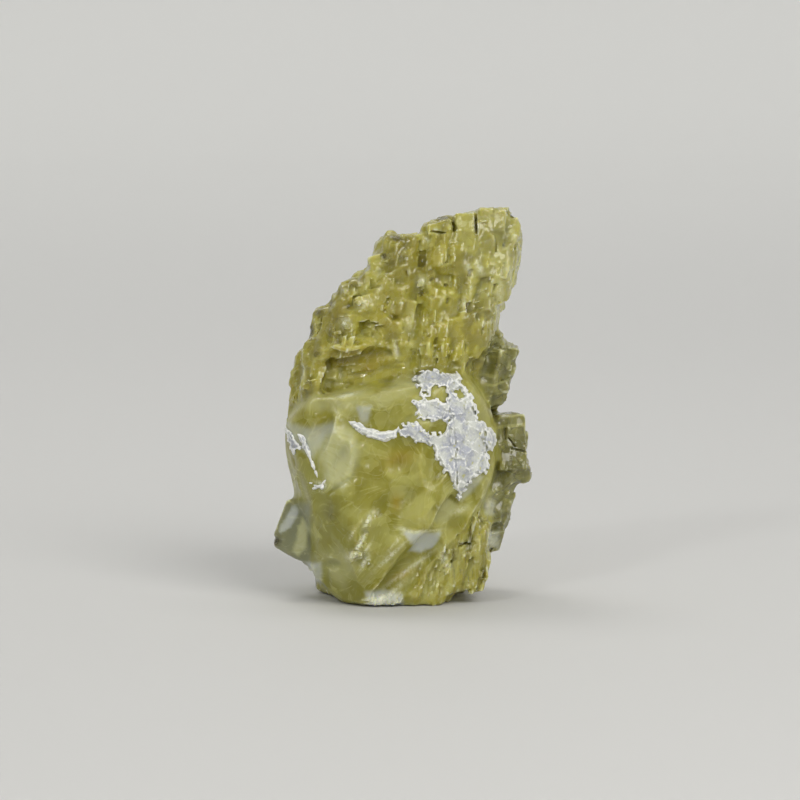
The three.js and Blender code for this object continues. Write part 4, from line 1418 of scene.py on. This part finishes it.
def calcite_finish(colours):
    """Glassy honey calcite: a cloudy body that lets blurred light through and scatters it under
    the skin, tinted by depth, with blocks of different tone along the cleavage, milky veils and
    orange glows, under a clear gloss. Painted highlights run along its edges and glint in its frost
    patches, a painted sheen lies below the lip, and painted shade darkens its grooves and clear
    windows."""
    made = Finish("calcite")
    product, total, less, ramp = made.product, made.total, made.less, made.ramp
    milk, veil, glow, window = (made.mask(name) for name in ("milk", "veil", "glow", "clear"))
    ridge, groove, frost, tones = (made.mask(name) for name in ("ridge", "groove", "frost", "tone"))
    broken, rear, ribbed, pale = (made.mask(name) for name in (BROKEN, "rear", "ribbed", "pale"))
    murky, splinter = made.mask("murky"), made.mask("splinter")
    stepped = less(1.0, broken)
    # Clouds, from the broadest to the finest.
    drift = made.noise(0.07, 2.0)
    cloudy = made.noise(0.16, 2.0, 0.45, Distortion=0.6)
    wisps = made.noise(0.5, 3.0, 0.5)
    grain = made.noise(1.6, 4.0, 0.65)
    # What lies in lines: fibres and arcs in the broken face, ribs in the foot, levels behind.
    fibres = made.noise(0.6, 3.0, 0.5, made.stretched((0, -0.55, 0.0), (1.0, 0.8, 0.22)))
    ribs = made.noise(1.0, 3.0, 0.6, made.stretched((0, 0.07, 0.0), (1.6, 1.6, 0.12)))
    arcs = ramp(made.stripes((-0.82, 0.0, 0.57), 1.5, 26.0), 0.55, 0.63)
    arcs = product(arcs, ramp(wisps, 0.42, 0.6), broken)
    behind = cleavage_planes(cleavage_edges(CRYSTALS["rear"]["turn"]))[2]
    levels = product(ramp(made.stripes(behind, 1.1, 6.0), 0.54, 0.62), ramp(drift, 0.45, 0.55), 0.5)
    bands = ramp(made.stripes((0.12, 0.0, 1.0), 0.9, 16.0), 0.5, 0.6)
    # Shell-shaped breaks, and the small blocks of the cleavage.
    dishes, dish_tones, rims = made.shells(0.14, 5.0)
    small_dishes, small_dish_tones, _ = made.shells(0.4, 2.0)
    small_tones, small_turns, seams = made.blocks(CRYSTALS["upper"]["turn"], 0.8)
    light_blocks = total(ramp(tones, 0.55, 0.95, 0.0, 0.45), ramp(small_tones, 0.6, 0.9, 0.0, 0.25))
    deep_blocks = total(ramp(tones, 0.45, 0.05, 0.0, 0.35), ramp(small_tones, 0.3, 0.0, 0.0, 0.3))

    colour = made.mix(broken, tuple(colours.honey), tuple(colours.olive))
    colour = made.coats(colour, colours, (
        ("amber", ramp(drift, 0.42, 0.62, 0.0, 0.35)),
        ("cream", product(light_blocks, stepped)),
        ("amber", product(deep_blocks, stepped)),
        ("cream", product(ramp(cloudy, 0.46, 0.66, 0.0, 0.5), broken)),
        ("cream", product(ramp(fibres, 0.5, 0.75, 0.0, 0.3), broken)),
        ("cream", product(ramp(dish_tones, 0.55, 0.9, 0.0, 0.35), broken)),
        ("cream", product(ramp(small_dish_tones, 0.6, 0.95, 0.0, 0.35), broken)),
        ("grey_green", product(murky, 0.6)),
        ("grey_green", rear),
        ("cream", product(rear, ramp(wisps, 0.45, 0.7, 0.0, 0.35))),
        ("vein", product(rear, made.veins(0.3, 0.05), ramp(wisps, 0.42, 0.55), 0.85)),
        ("cream", product(rear, levels)),
        ("cream", product(arcs, 0.45)),
        ("cream", product(ribbed, ramp(ribs, 0.5, 0.7, 0.0, 0.6))),
        ("vein", product(ribbed, ramp(ribs, 0.45, 0.3, 0.0, 0.5))),
        ("cream", product(pale, 0.6)),
        ("orange", product(glow, 0.6)),
        ("splinter", product(splinter, 0.9)),
        # The veils and the painted sheen below the lip are painted creamy.
        ("cream", product(veil, 0.8)),
        ("milk", product(veil, 0.3)),
        ("olive", product(veil, bands, ramp(wisps, 0.4, 0.6), 0.2)),
        ("milk", product(milk, 0.9)),
        # Clear windows are painted deeper amber, and darker below, as if dark surroundings showed through
        # them.
        ("amber", product(window, 0.6)),
    ))
    # Painted highlights: ridges, block seams and shell rims are mixed towards the pale frost colour as light
    # catching the edges, with a little real frosting of chipped edges; the frost patches, with their painted
    # glints, are mixed in too.
    lines = made.math("MAXIMUM", product(seams, stepped, 0.2), product(rims, broken, 0.12))
    edges = product(made.math("MAXIMUM", ridge, lines), ramp(wisps, 0.38, 0.62, 0.25, 0.95))
    highlight_and_frost = made.math("MAXIMUM", edges, product(frost, ramp(grain, 0.4, 0.52, 0.4, 1.0)))
    colour = made.mix(highlight_and_frost, colour, tuple(colours.frost))
    # Painted shade: grooves are darkened as if shade fell in them, and clear windows as if dark surroundings
    # showed through them.
    shade = less(1.0, made.math("MAXIMUM", product(groove, 0.2), product(window, 0.45)))
    grey = made.add("ShaderNodeCombineColor", {0: shade, 1: shade, 2: shade}).outputs[0]
    colour = made.mix(1.0, colour, grey, "MULTIPLY")

    # How clear it is, and how much it blurs what lies behind.
    clear = total(less(0.36, product(broken, 0.15)), product(stepped, ramp(tones, 0.1, 0.9, 0.14, -0.10)))
    clear = total(clear, ramp(cloudy, 0.35, 0.65, 0.05, -0.08))
    clouding = ((product(murky, broken), 0.75), (veil, 0.6), (milk, 0.7), (splinter, 0.7))
    clouding += ((ridge, 0.4), (frost, 0.7))
    for mask, share in clouding:
        clear = product(clear, less(1.0, product(mask, share)))
    clear = made.math("MAXIMUM", clear, product(window, 0.9))
    blur = less(ramp(cloudy, 0.35, 0.65, 0.30, 0.5), product(window, 0.4))
    blur = made.math("MAXIMUM", less(blur, product(rear, 0.05)), 0.08)

    # The way its body faces, then the way its gloss does.
    up, side = (cleavage_planes(cleavage_edges(CRYSTALS["upper"]["turn"]))[k] for k in (2, 0))
    treads = product(total(made.stripes(up, 1.5), made.stripes(side, 0.9)), ramp(cloudy, 0.45, 0.6))
    body = made.facing(
        (small_turns, product(stepped, 0.25)),
        (dishes, product(broken, -0.10)),
        (small_dishes, product(broken, -0.05)),
    )
    body = made.bump(product(treads, stepped), 0.12, 0.4, body)
    body = made.bump(product(ribs, ribbed), 0.3, 0.6, body)
    body = made.bump(made.noise(0.25, 2.0), 0.5, 0.2, body)
    gloss = made.facing(
        (small_turns, product(stepped, 0.5)),
        (dishes, product(broken, -0.14)),
        (small_dishes, product(broken, -0.10)),
    )
    gloss = made.bump(product(ribs, ribbed), 0.3, 0.6, gloss)
    gloss = made.bump(arcs, 0.12, 0.5, gloss)
    rough_skin = total(product(stepped, 0.5), total(product(frost, 2.0), 0.15))
    gloss = made.bump(product(grain, rough_skin), 0.06, 0.5, gloss)
    skin = made.add("ShaderNodeBsdfPrincipled", {
        "Base Color": colour, "Roughness": blur, "IOR": 1.58, "Specular IOR Level": 0.1, "Normal": body,
        "Transmission Weight": clear, "Subsurface Weight": 0.9,
        "Subsurface Radius": (1.0, 0.85, 0.4), "Subsurface Scale": 0.0022,
        "Coat Weight": less(1.0, product(broken, 0.55)), "Coat Roughness": 0.09, "Coat IOR": 1.4,
        "Coat Normal": gloss,
    })
    depth = {"Color": (*colours.depth_tint, 1), "Density": colours.depth_density}
    tint = made.add("ShaderNodeVolumeAbsorption", depth)
    return made.finish(skin.outputs[0], tint.outputs[0])


def crust_finish(colours):
    """Satin white crust: chalky, bluish on its plates, white on their edges, and darker where
    the stone shows through the joints."""
    made = Finish("white_crust")
    grain = made.noise(2.4, 5.0, 0.7)
    colour = made.coats(tuple(colours.crust), colours, (
        ("crust_shade", made.ramp(made.noise(0.35, 4.0, 0.65), 0.42, 0.62)),
        ("crust_edge", made.ramp(grain, 0.5, 0.75, 0.0, 0.5)),
        ("cream", made.ramp(made.noise(0.8, 3.0), 0.36, 0.30, 0.0, 0.8)),
        ("olive", made.product(made.mask("joint"), 0.55)),
        ("crust_edge", made.mask("ridge")),
    ))
    skin = made.add("ShaderNodeBsdfPrincipled", {
        "Base Color": colour, "Roughness": 0.4, "Normal": made.bump(grain, 0.2, 0.8),
        "Subsurface Weight": 0.3, "Subsurface Radius": (1.0, 1.0, 0.9), "Subsurface Scale": 0.0006,
    })
    return made.finish(skin.outputs[0])


# ---------------------------------------------------------------------------------------------
# The add-on


def colour(name, description, default):
    """A colour setting."""
    return FloatVectorProperty(
        name=name, description=description, default=default, size=3, min=0, max=1, subtype="COLOR"
    )


class CalciteSettings(bpy.types.PropertyGroup):
    """The sizes and colours of the stone."""

    grain: FloatProperty(
        name="Grain", description="Width of a cell of the stone's field, in millimetres",
        default=0.25, min=0.1,
    )
    healing: FloatProperty(
        name="Healing", description="Half-width of the narrowest open gap, in millimetres",
        default=0.9, min=0,
    )
    paring: FloatProperty(
        name="Paring", description="Half-thickness of the thinnest fin, in millimetres",
        default=0.4, min=0,
    )
    softening: FloatProperty(
        name="Softening", description="How far the broken planes are rounded, in millimetres",
        default=1.2, min=0,
    )
    step_softening: FloatProperty(
        name="Step softening", description="How far the stepped crystals are rounded, in millimetres",
        default=0.25, min=0,
    )
    growth: FloatProperty(
        name="Growth", description="How far a small block may stand out, in millimetres",
        default=0.5, min=0,
    )
    honey: colour("Honey", "Colour of the stepped crystals", (0.53, 0.49, 0.045))
    olive: colour("Olive", "Colour of the broken face", (0.34, 0.32, 0.035))
    amber: colour("Amber", "Deeper patches", (0.36, 0.32, 0.035))
    orange: colour("Orange", "Glows inside the stone", (0.50, 0.36, 0.03))
    cream: colour("Cream", "Milky veils", (0.60, 0.59, 0.20))
    grey_green: colour("Grey green", "Colour of the rear crystals", (0.28, 0.275, 0.075))
    milk: colour("Milk", "Lilac-white patches", (0.60, 0.63, 0.58))
    splinter: colour("Splinter", "Splinters at the foot", (0.27, 0.28, 0.17))
    vein: colour("Vein", "Thin dark veins of the rear crystals", (0.16, 0.16, 0.07))
    # The frost colour is also the colour of the painted highlights along edges and of the painted glints.
    frost: colour("Frost", "Bruised edges and splinters", (0.86, 0.87, 0.66))
    depth_tint: colour("Depth tint", "Tint of light that crosses the stone", (0.80, 0.74, 0.30))
    floor: colour("Floor", "Colour of the studio floor under the stone", (0.62, 0.62, 0.61))
    wall: colour("Wall", "Colour of the studio far from the stone", (0.92, 0.92, 0.90))
    sky: FloatProperty(name="Sky", description="Strength of the light from all round", default=0.25, min=0)
    depth_density: FloatProperty(
        name="Depth density", description="How fast the stone tints light, per metre",
        default=130.0, min=0,
    )
    crust: colour("Crust", "Colour of the white crust", (0.66, 0.68, 0.63))
    crust_shade: colour("Crust shade", "Its bluish plates", (0.44, 0.46, 0.52))
    crust_edge: colour("Crust edge", "Its white edges", (0.98, 0.99, 0.95))
    most_triangles: IntProperty(
        name="Triangles", description="Most triangles of the stone's skin, before long ones are split",
        default=140000,
    )
    longest_side: FloatProperty(
        name="Longest side", description="Longest side of a triangle, in millimetres",
        default=0.9, min=0.3,
    )
    crease: FloatProperty(
        name="Crease", description="Faces that meet at more than this stay sharp",
        default=0.42, subtype="ANGLE",
    )


FIELD_SIZES = ("grain", "healing", "paring", "softening", "step_softening", "growth")


def current_field(settings):
    """The stone's field and its makeup, with the sizes of the settings."""
    return stone_field(*(getattr(settings, size) for size in FIELD_SIZES))


class CALCITE_OT_stone(bpy.types.Operator):
    """Build the stone's skin with its cleavage steps and shell-shaped breaks"""

    bl_idname = "calcite.stone"
    bl_label = "Stone"

    def execute(self, context):
        settings = context.scene.calcite
        field, makeup = current_field(settings)
        points, triangles = thin_out(*field.skin(), settings.most_triangles)
        points, triangles = split_long_sides(points, triangles, settings.longest_side)
        masks = stone_masks(field, makeup, points)
        finish = calcite_finish(settings)
        place_piece("stone", (points, triangles), masks, finish, settings.crease, [NODE])
        return {"FINISHED"}


class CALCITE_OT_crust(bpy.types.Operator):
    """Build the white crust that lies on the stone"""

    bl_idname = "calcite.crust"
    bl_label = "White crust"

    def execute(self, context):
        settings = context.scene.calcite
        crust = crust_field(current_field(settings)[0])
        skin = crust.skin(every=True)
        masks = crust_masks(crust, skin[0])
        finish = crust_finish(settings)
        place_piece("white_crust", skin, masks, finish, settings.crease)
        return {"FINISHED"}


# The studio, in metres.
STUDIO = {
    "rings": (0.0, 0.4, 0.8),  # the radii of rings on its floor
    "floor": 1.2,  # the radius of its flat floor
    "rise": 0.8,  # the radius of the quarter-round rise at the floor's edge
    "top": 2.4,  # the height of its wall
    "paint": (0.4, 1.5),  # how far out the floor's colour starts and ends turning into the wall's
}
SIDES = 96  # how many flat sides the round studio has
RISE_SIDES = 12  # how many the rise has from the floor to the wall


def studio_bowl():
    """A round pale studio: a profile of a flat floor, a quarter-round rise and a wall, turned
    about the vertical."""
    floor, rise, top = (STUDIO[part] for part in ("floor", "rise", "top"))
    angles = np.linspace(0, np.pi / 2, RISE_SIDES + 1)[1:]
    flat = (*STUDIO["rings"], floor)
    out = np.concatenate([flat, floor + rise * np.sin(angles), [floor + rise]])
    up = np.concatenate([[0.0] * len(flat), rise - rise * np.cos(angles), [top]])
    turns = np.linspace(0, 2 * np.pi, SIDES + 1)[:-1]
    x, y = out[1:, None] * np.cos(turns), out[1:, None] * np.sin(turns)
    z = np.broadcast_to(up[1:, None], x.shape)
    points = np.concatenate([[(0, 0, 0)], np.stack([x, y, z], axis=2).reshape(-1, 3)])
    ring = np.arange(SIDES)
    beside = (ring + 1) % SIDES
    fan = np.stack([np.zeros(SIDES, int), 1 + ring, 1 + beside], axis=1)
    inner = 1 + SIDES * np.arange(len(out) - 2)[:, None]
    outer = inner + SIDES
    band = np.stack([inner + ring, outer + ring, outer + beside, inner + beside], axis=2)
    return mesh_of("studio", points / MM, fan, band.reshape(-1, 4))


def studio_finish(floor, wall):
    """Plain matt paint, of the floor's colour under the stone and the wall's far from it."""
    made = Finish("studio")
    away = made.add("ShaderNodeVectorMath", {0: made.place}, operation="LENGTH").outputs["Value"]
    shade = made.mix(made.ramp(away, *STUDIO["paint"]), tuple(floor), tuple(wall))
    paint = made.add("ShaderNodeBsdfPrincipled", {"Base Color": shade, "Roughness": 0.7})
    return made.finish(paint.outputs[0])


# Square soft lamps: places, aims and sides in metres.
LIGHTS = {
    "key": {"place": (0.42, -0.62, 0.62), "side": 0.50, "watts": 4.8, "colour": (1.0, 0.98, 0.95)},
    "spark": {"place": (-0.40, -0.66, 0.52), "side": 0.09, "watts": 0.9, "colour": (1.0, 1.0, 0.98)},
    "fill": {"place": (-0.55, -0.70, 0.55), "side": 0.45, "watts": 0.5, "colour": (0.95, 0.98, 1.0)},
    "back": {"place": (-0.25, 0.35, 0.90), "side": 0.30, "watts": 1.1, "colour": (1.0, 0.97, 0.90)},
    "top": {"place": (0.0, 0.0, 1.10), "side": 0.60, "watts": 0.5, "colour": (1.0, 1.0, 1.0)},
    "wall": {
        "place": (0.0, 0.45, 1.30), "aim": (0.0, 1.80, 0.25),
        "side": 1.2, "watts": 7.5, "colour": (1.0, 1.0, 1.0),
    },
}
LIT_MIDDLE = (0.0, 0.0, 0.04)  # where a lamp points that has no aim of its own
LENS = 200  # the focal length of the camera, in millimetres
SENSOR = 36  # the width of its sensor, in millimetres


def stand_at(name, thing, place, direction):
    """Puts a lamp or a camera at a place, turned to look along a direction."""
    stand = bpy.data.objects.new(name, thing)
    stand.location = place
    stand.rotation_euler = Vector(direction).to_track_quat("-Z", "Y").to_euler()
    bpy.context.scene.collection.objects.link(stand)
    return stand


class CALCITE_OT_stage(bpy.types.Operator):
    """Build the pale studio, its soft lights and the camera"""

    bl_idname = "calcite.stage"
    bl_label = "Stage"

    def execute(self, context):
        scene, settings = context.scene, context.scene.calcite
        bowl = bpy.data.objects.new("studio", studio_bowl())
        bowl.data.polygons.foreach_set("use_smooth", np.ones(len(bowl.data.polygons), bool))
        bowl.data.materials.append(studio_finish(settings.floor, settings.wall))
        scene.collection.objects.link(bowl)
        world = bpy.data.worlds.new("studio")
        world.use_nodes = True
        sky = world.node_tree.nodes["Background"].inputs
        sky["Color"].default_value = (1, 1, 1, 1)
        sky["Strength"].default_value = settings.sky
        scene.world = world
        for name, light in LIGHTS.items():
            lamp = bpy.data.lights.new(name, "AREA")
            lamp.size, lamp.energy, lamp.color = light["side"], light["watts"], light["colour"]
            aim = Vector(light.get("aim", LIT_MIDDLE)) - Vector(light["place"])
            stand_at(name, lamp, light["place"], aim)
        camera = bpy.data.cameras.new("camera")
        camera.lens, camera.sensor_width = LENS, SENSOR
        place, _, _, forward = eye_axes()
        scene.camera = stand_at("camera", camera, Vector(place * MM), forward)
        scene.view_settings.view_transform = "Standard"
        return {"FINISHED"}


class CALCITE_PT_panel(bpy.types.Panel):
    """The calcite tab of the sidebar"""

    bl_idname = "CALCITE_PT_panel"
    bl_label = "Calcite"
    bl_space_type = "VIEW_3D"
    bl_region_type = "UI"
    bl_category = "Calcite"

    def draw(self, context):
        settings = context.scene.calcite
        for name in settings.__annotations__:
            self.layout.prop(settings, name)
        for operator in OPERATORS:
            self.layout.operator(operator.bl_idname)


OPERATORS = (CALCITE_OT_stone, CALCITE_OT_crust, CALCITE_OT_stage)
CLASSES = (CalciteSettings, *OPERATORS, CALCITE_PT_panel)


def register():
    """Registers the settings, the operators and the panel."""
    for kind in CLASSES:
        bpy.utils.register_class(kind)
    bpy.types.Scene.calcite = PointerProperty(type=CalciteSettings)


def unregister():
    """Takes them away again."""
    del bpy.types.Scene.calcite
    for kind in reversed(CLASSES):
        bpy.utils.unregister_class(kind)


def main():
    """Builds everything in order."""
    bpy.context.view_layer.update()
    register()
    bpy.ops.calcite.stone()
    bpy.ops.calcite.crust()
    bpy.ops.calcite.stage()


if __name__ == "__main__":
    main()
